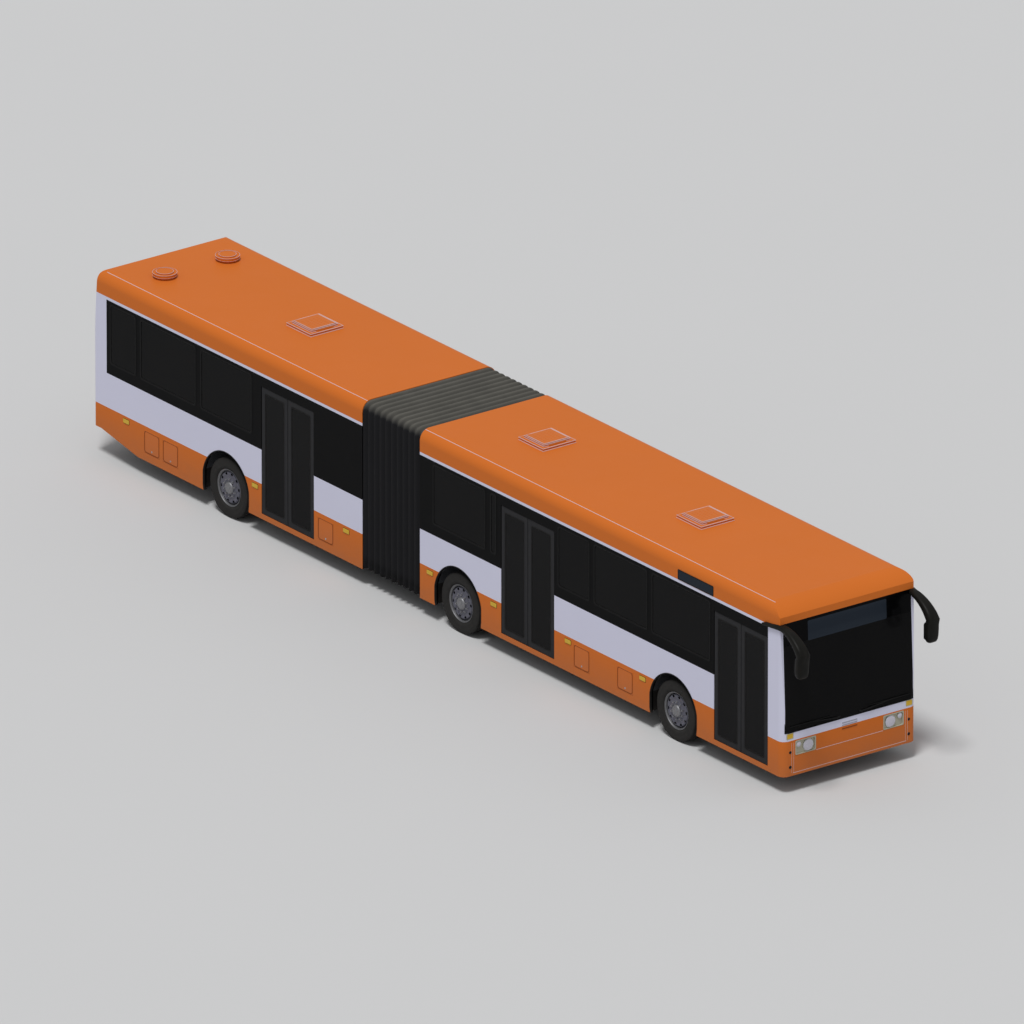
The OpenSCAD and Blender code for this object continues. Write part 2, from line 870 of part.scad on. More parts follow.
module rear_window_hole() {
  block([at(body_l + 1), -rear_win_half, win_z0 + 40],
        [at(body_l - end_depth + 1), rear_win_half, win_z1 - 40]);
}

module rear_end() {
  color(orange) difference() {
    tail_block(-at(body_l - end_depth), end_z0, cant_z, 0);
    tail_block(-at(body_l - end_depth) - 1, end_z0 - 1, cant_z + 1, wall_t);
    rear_window_hole();
    block([at(body_l + 1), -lid_half, lid_z0], [at(body_l - flap_t), lid_half, lid_z1]);
    block([at(body_l + 1), flap_lip - lid_half, lid_z0 + flap_lip],
          [at(body_l - wall_t - 1), lid_half - flap_lip, lid_z1 - flap_lip]);
    for (s = [-1, 1]) tail_lamp_box(s, -1);
  }
}

module engine_lid() {
  half = lid_half - move_gap;
  color(orange) {
    block([at(body_l), -half, lid_z0 + move_gap],
          [at(body_l - flap_t + seat_gap), half, lid_z1 - move_gap]);
    translate([at(body_l), half, lid_z1 - move_gap]) rotate([90, 0, 0])
      cylinder(h = 2 * half, r = hinge_r);
  }
}

module rear_windows() {
  color(black) {
    window_panes(right_rear_wins, -1);
    window_panes(left_rear_wins, 1);
    intersection() {
      rear_window_hole();
      difference() {
        tail_block(-at(body_l - end_depth), belt_z, cant_z, 3);
        tail_block(-at(body_l - end_depth) - 1, belt_z - 1, cant_z + 1, 3 + glass_t);
      }
    }
  }
}

module tail_lamp_box(s, inset) {
  block([at(body_l - inset), s * tail_y - tail_half, tail_z0],
        [at(body_l - tail_depth), s * tail_y + tail_half, tail_z0 + tail_h]);
}

module rear_lamps() {
  color([0.6, 0.1, 0.08]) {
    for (s = [-1, 1]) tail_lamp_box(s, 2);
    for (d = rear_markers) side_marker(d);
  }
}

// ---------- inside ----------

seat_w = 860;
seat_h = 420;
seat_back = 620;

// A double seat facing forward, its back at station d, beside wall s, on floor z
module double_seat(d, s, z) {
  y0 = s > 0 ? inner_y - 12 - seat_w : 12 - inner_y;
  block([at(d), y0, z + seat_h], [at(d) + 430, y0 + seat_w, z + seat_h + 70]);
  block([at(d), y0, z + seat_h], [at(d) + 60, y0 + seat_w, z + seat_h + seat_back]);
  block([at(d) + 90, y0 + seat_w / 2 - 150, z], [at(d) + 330, y0 + seat_w / 2 + 150, z + seat_h]);
}

seat_pitch = 760;
// How many seats fit between two stations
function seat_count(d0, d1) = max(0, floor((d1 - d0) / seat_pitch));

module seat_row(d0, d1, s, z) {
  n = seat_count(d0, d1);
  if (n > 0) for (i = [1:n]) double_seat(d0 + i * (d1 - d0) / n - 20, s, z);
}

house_edge = housing_half + housing_t + 30;

module front_seats() {
  color([0.2, 0.25, 0.4]) {
    seat_row(axle_1 + house_edge, door_2 - 60, -1, floor_z);
    seat_row(axle_1 + house_edge, axle_2 - house_edge, 1, floor_z);
  }
}

module rear_seats() {
  color([0.2, 0.25, 0.4]) {
    seat_row(rear_start + 120, axle_3 - house_edge, 1, floor_z);
    seat_row(rear_step + 120, body_l - end_depth - 40, 1, high_floor_z);
    seat_row(rear_step + 120, body_l - end_depth - 40, -1, high_floor_z);
  }
}

driver_y = side_y - 575;
driver_d = 1680;               // back of the driver's seat
driver_seat_z = floor_z + 380;
dash_d = 700;
dash_h = 620;
dash_y = 120;
column_d = 900;                // steering wheel's middle
column_tilt = 30;
partition_d = 1760;

module steering_wheel() {
  rotate_extrude() translate([215, 0]) circle(14);
  translate([-200, -14, -10]) cube([400, 28, 20]);
  translate([0, 0, -460]) cylinder(h = 460, r = 28);
}

module driver_station() {
  color(grey) {
    // Dashboard
    block([at(dash_d), dash_y, floor_z], [at(wall_t + 30), inner_y - 12, floor_z + dash_h]);
    // Seat on its pedestal
    block([at(driver_d - 30), driver_y - 200, floor_z], [at(driver_d - 430), driver_y + 200, driver_seat_z]);
    block([at(driver_d), driver_y - 240, driver_seat_z],
          [at(driver_d - 480), driver_y + 240, driver_seat_z + 100]);
    block([at(driver_d), driver_y - 240, driver_seat_z + 100],
          [at(driver_d - 90), driver_y + 240, driver_seat_z + 770]);
    translate([at(column_d), driver_y, floor_z + 740]) rotate([0, -column_tilt, 0]) steering_wheel();
    // Partition behind the driver
    block([at(partition_d + 30), 240, floor_z], [at(partition_d), inner_y - 12, floor_z + 1500]);
  }
}

// ---------- axles ----------

beam_z0 = 130;
beam_half = 80;

// Low beam under the floor with an upright at each side that carries the wheel
module low_beam(d, post_y0, post_y1, post_top, post_half) {
  block([at(d) - beam_half, -post_y1, beam_z0], [at(d) + beam_half, post_y1, rail_z]);
  both_sides()
    block([at(d) - post_half, post_y0, beam_z0], [at(d) + post_half, post_y1, post_top]);
}

module driven_axle(d) {
  y1 = twin_in_y - 25;
  color(grey) {
    low_beam(d, y1 - 60, y1, tyre_r + 110, beam_half);
    both_sides()
      translate([at(d), y1 - 1, tyre_r]) rotate([-90, 0, 0])
        cylinder(h = spindle_y1 - y1, r = spindle_r);
  }
}

knuckle_half = 28;
king_post_half = 40;           // narrow, so that the steering arm swings past it
king_post_gap = 44;            // from the king pin's axis to the upright's face
arm_in = 4;                    // steering arm's inner side, outward of the king pin's axis
arm_w = 30;
arm_l = 200;

module front_axle() {
  y1 = king_y - king_post_gap;
  color(grey) difference() {
    union() {
      low_beam(axle_1, y1 - 60, y1, tyre_r + 130, king_post_half);
      // Lugs above and below the knuckle
      both_sides() for (z = [tyre_r - 130, tyre_r + 90])
        block([at(axle_1) - 50, y1 - 1, z], [at(axle_1) + 50, king_y + 45, z + 40]);
    }
    both_sides() translate([at(axle_1), king_y, tyre_r - 140])
      cylinder(h = 290, r = king_r + bearing_gap);
  }
}

// Steering knuckle: block between the lugs, king pin and wheel spindle
module knuckle() {
  color(steel) {
    translate([at(axle_1), king_y, tyre_r - 125]) cylinder(h = 250, r = king_r);
    block([at(axle_1) - knuckle_half, king_y - 24, tyre_r - 90 + seat_gap],
          [at(axle_1) + knuckle_half, king_y + arm_in + arm_w, tyre_r + 90 - seat_gap]);
    translate([at(axle_1), king_y, tyre_r]) rotate([-90, 0, 0])
      cylinder(h = spindle_y1 - king_y, r = spindle_r);
    block([at(axle_1) - arm_l, king_y + arm_in, tyre_r - 60],
          [at(axle_1), king_y + arm_in + arm_w, tyre_r - 30]);
  }
}

// ---------- wheels ----------

rim_half = tyre_w / 2 - 22;
flange_h = 14;
flange_t = 12;
flange_slope = 10;
bead_half = rim_half - flange_t - flange_slope - seat_gap;
disc_t = 22;

// Rim profile: radius to the right, outward along the axle upward
module rim_profile(disc_y) {
  inner = rim_r - flange_h;
  outer = rim_r + flange_h;
  well = rim_half - 30;
  slope_y = rim_half - flange_t - flange_slope;
  polygon([[inner, -rim_half], [outer, -rim_half], [outer, flange_t - rim_half],
           [rim_r, -slope_y], [rim_r, slope_y], [outer, rim_half - flange_t],
           [outer, rim_half], [inner, rim_half], [inner - 6, well], [inner - 6, -well]]);
  polygon([[spindle_r + 30, disc_y - disc_t], [rim_r - 10, disc_y - disc_t],
           [rim_r - 10, disc_y], [spindle_r + 30, disc_y]]);
}

module tyre_profile() {
  h = tyre_w / 2;
  r = 50;
  difference() {
    union() {
      translate([rim_r, -h + 24]) square([tyre_r - r - rim_r, 2 * h - 48]);
      translate([tyre_r - r - 1, r - h]) square([r + 1, 2 * (h - r)]);
      for (s = [-1, 1]) translate([tyre_r - r, s * (h - r)]) circle(r);
      for (s = [-1, 1]) translate([rim_r + 90, s * (h - 60)]) circle(60);
    }
    translate([-1, -h]) square([rim_r + 1, 2 * h]);
    // Room for the rim's flanges beside the beads
    for (s = [0, 1]) mirror([0, s])
      translate([rim_r - 1, bead_half]) square([flange_h + 1 + seat_gap, h - bead_half]);
  }
}

// Turns a profile about the wheel's axle; s is the side, y the wheel's middle
module on_axle(d, s, y) {
  translate([at(d), s * y, tyre_r]) rotate([s > 0 ? -90 : 90, 0, 0])
    rotate_extrude($fn = 96) children();
}

single_y = wheel_y - tyre_w / 2;
inner_twin_y = single_y - tyre_w - twin_gap;

// Along the axle from a wheel's middle: the hub cap's face and the end of the spindle's bore
cap_face = rim_half - 15;
bore_end = rim_half - 46;
spindle_y1 = single_y + bore_end - move_gap;

// Hub from y0 to the cap's face, with the spindle's bore cut by hub_bore
module hub(y0) {
  translate([0, y0]) square([hub_r, cap_face - y0]);
}

module hub_bore(y0) {
  translate([0, y0 - 1]) square([spindle_r + bearing_gap, bore_end - y0 + 1]);
}

module front_rim(s) {
  hub_y0 = -90;
  color(steel) on_axle(axle_1, s, single_y) difference() {
    union() {
      rim_profile(rim_half - 60);
      hub(hub_y0);
    }
    hub_bore(hub_y0);
  }
}

module twin_rim(d, s) {
  twin_pitch = tyre_w + twin_gap;
  hub_y0 = -twin_pitch - 60;
  color(steel) on_axle(d, s, single_y) difference() {
    union() {
      rim_profile(rim_half - 95);
      translate([0, -twin_pitch]) rim_profile(0);
      hub(hub_y0);
    }
    hub_bore(hub_y0);
  }
}

module tyre(d, s, twin) {
  color(black) {
    on_axle(d, s, single_y) tyre_profile();
    if (twin) on_axle(d, s, inner_twin_y) tyre_profile();
  }
}

// ---------- nodes ----------

front_underframe();
front_wall_right();
front_wall_left();
front_roof();
front_mask();
windscreen();
front_bumper();
front_windows();
portal(at(front_l));  // front_portal
front_seats();
driver_station();
front_axle();
driven_axle(axle_2);  // middle_axle
mirrors();
front_lamps();
displays();
knuckle();  // knuckle_left
mirror([0, 1, 0]) knuckle();  // knuckle_right
front_rim(1);  // rim_front_left
front_rim(-1);  // rim_front_right
tyre(axle_1, 1, false);  // tyre_front_left
tyre(axle_1, -1, false);  // tyre_front_right
twin_rim(axle_2, 1);  // rim_middle_left
twin_rim(axle_2, -1);  // rim_middle_right
tyre(axle_2, 1, true);  // tyre_middle_left
tyre(axle_2, -1, true);  // tyre_middle_right
hatch_lid(hatch_at[0]);  // front_hatch_lid
hatch_lid(hatch_at[1]);  // middle_hatch_lid
bellows();
bellows_hoop();
door_leaf(at(door_1), -1);  // door_1_front
door_leaf(at(door_1 + door_w), 1);  // door_1_rear
door_leaf(at(door_2), -1);  // door_2_front
door_leaf(at(door_2 + door_w), 1);  // door_2_rear
flap(flap_at[0]);  // flap_1
flap(flap_at[1]);  // flap_2
rear_underframe();
rear_wall_right();
rear_wall_left();
rear_roof();
rear_end();
rear_windows();
portal(at(rear_start) - portal_t);  // rear_portal
rear_seats();
driven_axle(axle_3);  // rear_axle
engine();
rear_lamps();
twin_rim(axle_3, 1);  // rim_rear_left
twin_rim(axle_3, -1);  // rim_rear_right
tyre(axle_3, 1, true);  // tyre_rear_left
tyre(axle_3, -1, true);  // tyre_rear_right
hatch_lid(hatch_at[2]);  // rear_hatch_lid
door_leaf(at(door_3), -1);  // door_3_front
door_leaf(at(door_3 + door_w), 1);  // door_3_rear
flap(flap_at[2]);  // flap_3
flap(flap_at[3]);  // flap_4
flap(flap_at[4]);  // flap_5
engine_lid();
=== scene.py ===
"""Articulated city bus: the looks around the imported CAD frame.  Metres, +X forward, +Y left, +Z up."""

import json
import math

import bmesh
import bpy
import numpy as np
from mathutils import Matrix, Vector

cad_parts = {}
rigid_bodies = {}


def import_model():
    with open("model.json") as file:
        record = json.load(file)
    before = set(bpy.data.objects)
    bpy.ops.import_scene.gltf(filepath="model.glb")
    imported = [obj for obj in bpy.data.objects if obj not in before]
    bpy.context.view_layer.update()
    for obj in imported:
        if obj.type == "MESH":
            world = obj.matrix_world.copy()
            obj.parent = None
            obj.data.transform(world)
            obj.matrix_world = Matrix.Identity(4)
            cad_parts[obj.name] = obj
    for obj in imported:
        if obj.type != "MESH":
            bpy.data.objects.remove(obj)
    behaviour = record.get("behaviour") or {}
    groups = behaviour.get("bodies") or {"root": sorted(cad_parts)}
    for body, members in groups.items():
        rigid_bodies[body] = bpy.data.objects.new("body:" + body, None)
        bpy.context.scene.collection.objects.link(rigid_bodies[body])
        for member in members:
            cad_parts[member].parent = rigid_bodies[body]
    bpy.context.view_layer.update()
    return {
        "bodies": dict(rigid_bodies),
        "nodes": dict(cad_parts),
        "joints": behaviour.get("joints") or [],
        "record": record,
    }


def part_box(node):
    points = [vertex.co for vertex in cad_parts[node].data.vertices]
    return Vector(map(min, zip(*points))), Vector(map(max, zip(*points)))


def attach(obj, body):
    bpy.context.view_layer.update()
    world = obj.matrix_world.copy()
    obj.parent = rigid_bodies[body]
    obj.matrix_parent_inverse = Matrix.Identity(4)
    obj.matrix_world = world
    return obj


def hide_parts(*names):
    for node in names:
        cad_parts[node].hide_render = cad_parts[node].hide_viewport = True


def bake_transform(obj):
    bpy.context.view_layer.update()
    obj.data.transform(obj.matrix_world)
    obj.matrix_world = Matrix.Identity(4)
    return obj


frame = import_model()
NODES = frame["nodes"]

# ---------- measures, read from the frame ----------

WALL_LO, WALL_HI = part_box("front_wall_right")
BUMPER_LO, BUMPER_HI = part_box("front_bumper")
SCREEN_LO, SCREEN_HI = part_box("windscreen")
END_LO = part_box("rear_end")[0]
ENGINE_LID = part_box("engine_lid")

LID_RISE = 0.0423     # from the roof up to the foot of a hatch lid
WAIST_DROP = 0.132    # from the windscreen's foot down to the orange skirt
BELT_DROP = 0.187     # from the side panes' foot down to the white waist
ROOF_R = 0.180        # radius of the roof's long edges
FLOOR_Z = 0.350       # the low passenger floor

SIDE_Y = -WALL_LO.y
WALL_T = WALL_HI.y - WALL_LO.y
SKIRT_Z = WALL_LO.z
CANT_Z = WALL_HI.z
FRONT_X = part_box("front_mask")[1].x
REAR_X = END_LO.x
ROOF_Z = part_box("front_hatch_lid")[0].z - LID_RISE
BAND_Z = SCREEN_LO.z - WAIST_DROP
STRIPE_H = 0.046
STRIPE_Z = CANT_Z - STRIPE_H
FRONT_END_X = WALL_LO.x
REAR_START_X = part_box("rear_wall_right")[1].x
PIVOT = Vector(next(j["pos_m"] for j in frame["joints"] if j["name"] == "articulation"))


def islands(node):
    """Boxes (low corner, high corner) of a CAD node's separate solids, sorted from the front back."""
    bm = bmesh.new()
    bm.from_mesh(NODES[node].data)
    bmesh.ops.remove_doubles(bm, verts=bm.verts, dist=1e-5)
    found, left = [], set(bm.verts)
    while left:
        stack = [left.pop()]
        group = []
        while stack:
            v = stack.pop()
            group.append(v.co.copy())
            for e in v.link_edges:
                w = e.other_vert(v)
                if w in left:
                    left.remove(w)
                    stack.append(w)
        co = np.array(group)
        found.append((Vector(co.min(0)), Vector(co.max(0))))
    bm.free()
    return sorted(found, key=lambda b: (-round(b[1].x, 3), b[0].y))


PANES = {"root": islands("front_windows"), "rear_section": islands("rear_windows")}
SIDE_PANES = {
    body: [b for b in boxes if b[1].y - b[0].y < 0.1] for body, boxes in PANES.items()
}
BELT_Z = SIDE_PANES["root"][0][0].z - BELT_DROP


# ---------- shader toolkit ----------

class Shade:
    """A material and short names for the shader nodes that the materials share."""

    def __init__(self, name):
        self.mat = bpy.data.materials.new(name)
        self.mat.use_nodes = True
        self.tree = self.mat.node_tree
        self.bsdf = self.tree.nodes["Principled BSDF"]
        coords = self.tree.nodes.new("ShaderNodeTexCoord")
        self.place = coords.outputs["Object"]
        split = self.add("ShaderNodeSeparateXYZ", [(0, self.place)])
        self.x, self.y, self.z = split.outputs

    def add(self, kind, inputs=(), **settings):
        node = self.tree.nodes.new(kind)
        for key, value in settings.items():
            setattr(node, key, value)
        for key, value in inputs:
            self.put(node.inputs[key], value)
        return node

    def put(self, socket, value):
        if isinstance(value, bpy.types.NodeSocket):
            self.tree.links.new(value, socket)
        else:
            socket.default_value = value

    def set(self, **values):
        """Puts values or links on the Principled shader; underscores stand for spaces."""
        for key, value in values.items():
            self.put(self.bsdf.inputs[key.replace("_", " ")], value)
        return self

    def calc(self, op, a, b=0.0, c=0.0):
        return self.add("ShaderNodeMath", [(0, a), (1, b), (2, c)], operation=op).outputs[0]

    def above(self, value, edge):
        return self.calc("GREATER_THAN", value, edge)

    def below(self, value, edge):
        return self.calc("LESS_THAN", value, edge)

    def between(self, value, low, high):
        return self.all_of(self.above(value, low), self.below(value, high))

    def all_of(self, first, *others):
        """1 where every one of the values is 1."""
        for other in others:
            first = self.calc("MULTIPLY", first, other)
        return first

    def mix(self, share, a, b):
        node = self.add("ShaderNodeMix", [(0, share), (6, a), (7, b)], data_type="RGBA")
        return node.outputs[2]

    def noise(self, scale, detail=3.0, rough=0.55, where=None):
        node = self.add("ShaderNodeTexNoise",
                        [("Vector", where or self.place), ("Scale", scale),
                         ("Detail", detail), ("Roughness", rough)])
        return node.outputs["Fac"]

    def stretched(self, sx, sy, sz):
        """Object coordinates scaled differently along each axis."""
        node = self.add("ShaderNodeVectorMath", [(0, self.place), (1, (sx, sy, sz))],
                        operation="MULTIPLY")
        return node.outputs[0]

    def spread(self, share, low, high):
        """A 0 to 1 value mapped to the range from low to high."""
        return self.add("ShaderNodeMapRange", [(0, share), (3, low), (4, high)]).outputs[0]

    def bump(self, height, strength, distance):
        node = self.add("ShaderNodeBump", [("Height", height), ("Strength", strength),
                                           ("Distance", distance)])
        self.put(self.bsdf.inputs["Normal"], node.outputs[0])
        return self


def grey(level, tint=(1.0, 1.0, 1.0)):
    return (level * tint[0], level * tint[1], level * tint[2], 1.0)


ORANGE = (0.63, 0.160, 0.026, 1.0)
WHITE = (0.66, 0.66, 0.80, 1.0)
BLACK = (0.0015, 0.0015, 0.0018, 1.0)
DUST = (0.17, 0.13, 0.10, 1.0)


# ---------- materials ----------

def road_dust(m, colour):
    """Road dust over the lowest part of a painted surface, heavier near the road."""
    low = m.add("ShaderNodeMapRange", [(0, m.z), (1, SKIRT_Z), (2, SKIRT_Z + 0.55), (3, 0.34), (4, 0.0)])
    patches = m.spread(m.noise(3.0, 5.0, 0.65, m.stretched(1.0, 1.0, 2.5)), 0.2, 1.3)
    return m.mix(m.calc("MULTIPLY", low.outputs[0], patches), colour, DUST)


def livery(name, body):
    """Body paint: orange skirt and roof, white waist, black glazing band and a white pinstripe."""
    m = Shade(name)
    waist = m.between(m.z, BAND_Z, BELT_Z)
    upper = m.between(m.z, BELT_Z, STRIPE_Z)
    in_band = m.between(m.x, *BAND_LIMITS[body])
    glazing = m.all_of(upper, in_band)
    pillar = m.all_of(upper, m.calc("SUBTRACT", 1.0, in_band))
    stripe = m.between(m.z, STRIPE_Z, CANT_Z)
    white = m.calc("MAXIMUM", m.calc("MAXIMUM", waist, pillar), stripe)
    tone = m.spread(m.noise(0.6, 3.0, 0.5), 0.97, 1.03)
    tint = m.add("ShaderNodeCombineXYZ", [(0, tone), (1, tone), (2, tone)]).outputs[0]
    orange, pale = [m.add("ShaderNodeMix", [(0, 1.0), (6, paint), (7, tint)], data_type="RGBA",
                          blend_type="MULTIPLY").outputs[2] for paint in (ORANGE, WHITE)]
    colour = m.mix(glazing, m.mix(white, orange, pale), BLACK)
    colour = lined_inside(m, road_dust(m, colour))
    m.set(Base_Color=colour, Roughness=m.spread(m.noise(2.2, 5.0, 0.6), 0.30, 0.46), Specular_IOR_Level=0.05)
    return m.bump(m.noise(90.0, 2.0, 0.5), 0.03, 0.001).mat


def lined_inside(m, colour):
    """Painted shade: black on the edges of every opening through the walls and on their inner faces low down,
    where the openings and the gaps round the doors fall in shade; a pale lining on their inner faces higher
    up.
    """
    width = m.calc("ABSOLUTE", m.y)
    ends = m.between(m.x, REAR_X + 0.12, FRONT_X - 0.31)
    under_roof = m.below(m.z, ROOF_Z - ROOF_R - 0.005)
    corner = m.below(m.calc("ADD", width, m.z), SIDE_Y + ROOF_Z - 0.145)
    headroom = m.below(m.z, ROOF_Z - 0.03)
    # painted shade: the walls' edges at openings and gaps are made black, as the shade in them would look
    painted_shade_edges = m.all_of(m.below(width, SIDE_Y - 0.008), ends, under_roof)
    inner = m.below(width, SIDE_Y - WALL_T + 0.004)
    lining = m.all_of(inner, ends, headroom, corner, m.above(m.z, BAND_Z))
    return m.mix(lining, m.mix(painted_shade_edges, colour, BLACK), grey(0.30))


BAND_LIMITS = {
    "root": (FRONT_END_X - 1.0, WALL_HI.x - 0.066),
    "rear_section": (REAR_X + 0.34, REAR_START_X + 1.0),
}


def plain_orange(name):
    """Orange paint for lids and flaps, with faint marks from hands and brushes."""
    m = Shade(name)
    wear = m.noise(5.0, 6.0, 0.65)
    colour = m.mix(m.spread(wear, 0.0, 0.22), ORANGE, (0.56, 0.14, 0.026, 1.0))
    m.set(Base_Color=road_dust(m, colour), Roughness=m.spread(m.noise(9.0, 4.0), 0.32, 0.48),
          Specular_IOR_Level=0.12)
    return m.bump(m.noise(90.0, 2.0, 0.5), 0.03, 0.001).mat


def dark_glass(name, level, alpha, dusty=2.2, border_z=None):
    """Tinted glass with a film of dust and rain marks; above border_z it turns into an opaque border."""
    m = Shade(name)
    film = m.noise(1.6, 6.0, 0.7, m.stretched(1.0, 1.0, 0.45))
    tint, dust = grey(level, (1, 1, 1.12)), grey(level * dusty, (1.05, 1, 0.95))
    colour = m.mix(m.spread(film, 0.0, 0.5), tint, dust)
    if border_z is not None:
        border = m.above(m.z, border_z)
        colour = m.mix(border, colour, BLACK)
        alpha = m.calc("MAXIMUM", border, alpha)
    m.set(Base_Color=colour, Roughness=m.spread(film, 0.10, 0.22), Specular_IOR_Level=0.05, Alpha=alpha)
    return m.bump(m.noise(0.9, 2.0, 0.4), 0.02, 0.005).mat


def matt(name, colour, second, scale, low, high, grain, depth):
    """A matt two-tone surface: plastic, rubber, coated metal."""
    m = Shade(name)
    patches = m.noise(scale, 5.0, 0.6)
    m.set(Base_Color=m.mix(m.spread(patches, 0.0, 0.7), colour, second),
          Roughness=m.spread(m.noise(scale * 2.5, 4.0), low, high), Specular_IOR_Level=0.08)
    return m.bump(m.noise(grain, 3.0, 0.6), 0.2, depth).mat


def tyre_rubber():
    """Rubber with road dust in the tread and finer rings on the sidewall."""
    m = Shade("tyre_rubber")
    dust = m.spread(m.noise(14.0, 6.0, 0.7), 0.0, 0.6)
    m.set(Base_Color=m.mix(dust, grey(0.016), grey(0.042, (1.1, 1.0, 0.9))),
          Roughness=m.spread(m.noise(30.0, 4.0), 0.62, 0.9), Specular_IOR_Level=0.15)
    return m.bump(m.noise(160.0, 3.0, 0.6), 0.3, 0.001).mat


def wheel_paint():
    """Blue-grey wheel paint with brake dust."""
    m = Shade("wheel_paint")
    dust = m.spread(m.noise(11.0, 6.0, 0.7), 0.0, 0.55)
    m.set(Base_Color=m.mix(dust, (0.125, 0.125, 0.165, 1), (0.08, 0.078, 0.085, 1)),
          Roughness=m.spread(m.noise(24.0, 4.0), 0.38, 0.6), Metallic=0.35)
    return m.bump(m.noise(70.0, 3.0), 0.12, 0.001).mat


def bright_metal(name, level, rough):
    """Brushed or cast bare metal."""
    m = Shade(name)
    brush = m.noise(40.0, 4.0, 0.6, m.stretched(1.0, 1.0, 8.0))
    m.set(Base_Color=m.mix(m.spread(brush, 0.0, 0.5), grey(level, (1, 1, 1.05)), grey(level * 0.6)),
          Metallic=0.9, Roughness=m.spread(brush, rough * 0.8, rough * 1.3))
    return m.bump(brush, 0.08, 0.001).mat


def pleat_fabric():
    """Coated bellows fabric: near black on the flanks, and pale grey on top, where painted light from the sky
    goes into the colour in uneven patches.
    """
    m = Shade("pleat_fabric")
    normal = m.add("ShaderNodeNewGeometry").outputs["Normal"]
    up = m.add("ShaderNodeSeparateXYZ", [(0, normal)]).outputs[2]
    # Painted light: faces that look up turn pale grey, as sky light would make them, in uneven patches.
    sky_lit_top = m.add("ShaderNodeMapRange", [(0, up), (1, 0.2), (2, 0.9)]).outputs[0]
    dust = m.calc("MULTIPLY", sky_lit_top, m.spread(m.noise(2.5, 5.0, 0.65), 0.55, 1.1))
    weave_u = m.add("ShaderNodeTexWave", [("Vector", m.place), ("Scale", 90.0), ("Distortion", 0.4)],
                    bands_direction="Z").outputs["Fac"]
    weave_v = m.add("ShaderNodeTexWave", [("Vector", m.place), ("Scale", 90.0), ("Distortion", 0.4)],
                    bands_direction="X").outputs["Fac"]
    m.set(Base_Color=m.mix(dust, grey(0.014, (1, 1, 1.10)), (0.125, 0.120, 0.104, 1)),
          Roughness=m.spread(m.noise(18.0, 4.0), 0.6, 0.85), Specular_IOR_Level=0.10)
    return m.bump(m.calc("ADD", weave_u, weave_v), 0.15, 0.001).mat


def moquette():
    """Woven seat fabric in blue-grey with a small checked weave."""
    m = Shade("moquette")
    weave = m.add("ShaderNodeTexChecker", [("Vector", m.place), ("Scale", 55.0)]).outputs["Fac"]
    fleck = m.noise(120.0, 3.0)
    colour = m.mix(m.calc("MULTIPLY", weave, 0.5), (0.035, 0.05, 0.12, 1), (0.07, 0.09, 0.17, 1))
    colour = m.mix(m.spread(fleck, 0.0, 0.35), colour, (0.20, 0.10, 0.04, 1))
    m.set(Base_Color=colour, Roughness=m.spread(fleck, 0.75, 0.95), Sheen_Weight=0.4, Sheen_Roughness=0.4)
    return m.bump(fleck, 0.4, 0.002).mat


def lens(name, colour, deep, ribs):
    """Lamp lens with fine moulded ribs."""
    m = Shade(name)
    rib = m.add("ShaderNodeTexWave", [("Vector", m.place), ("Scale", ribs), ("Distortion", 0.0)],
                bands_direction="Z").outputs["Fac"]
    m.set(Base_Color=m.mix(m.spread(rib, 0.0, 0.6), colour, deep), Roughness=m.spread(rib, 0.14, 0.3),
          Specular_IOR_Level=0.2)
    return m.bump(rib, 0.25, 0.002).mat


def dot_display():
    """A switched-off route display: a fine grid of dark dots behind smoked glass."""
    m = Shade("dot_display")
    grid = [("Vector", m.place), ("Scale", 70.0), ("Randomness", 0.0)]
    dots = m.add("ShaderNodeTexVoronoi", grid).outputs[0]
    glass, dot = (0.016, 0.022, 0.032, 1), (0.026, 0.034, 0.046, 1)
    m.set(Base_Color=m.mix(m.below(dots, 0.35), glass, dot), Roughness=m.spread(m.noise(6.0), 0.25, 0.4),
          Specular_IOR_Level=0.06)
    return m.bump(dots, 0.1, 0.001).mat


def studio_floor():
    m = Shade("studio_floor")
    m.set(Base_Color=m.mix(m.spread(m.noise(0.15, 3.0), 0.0, 0.3), grey(0.62), grey(0.58)),
          Roughness=m.spread(m.noise(1.5), 0.8, 0.95), Specular_IOR_Level=0.1)
    return m.mat


# ---------- mesh toolkit ----------

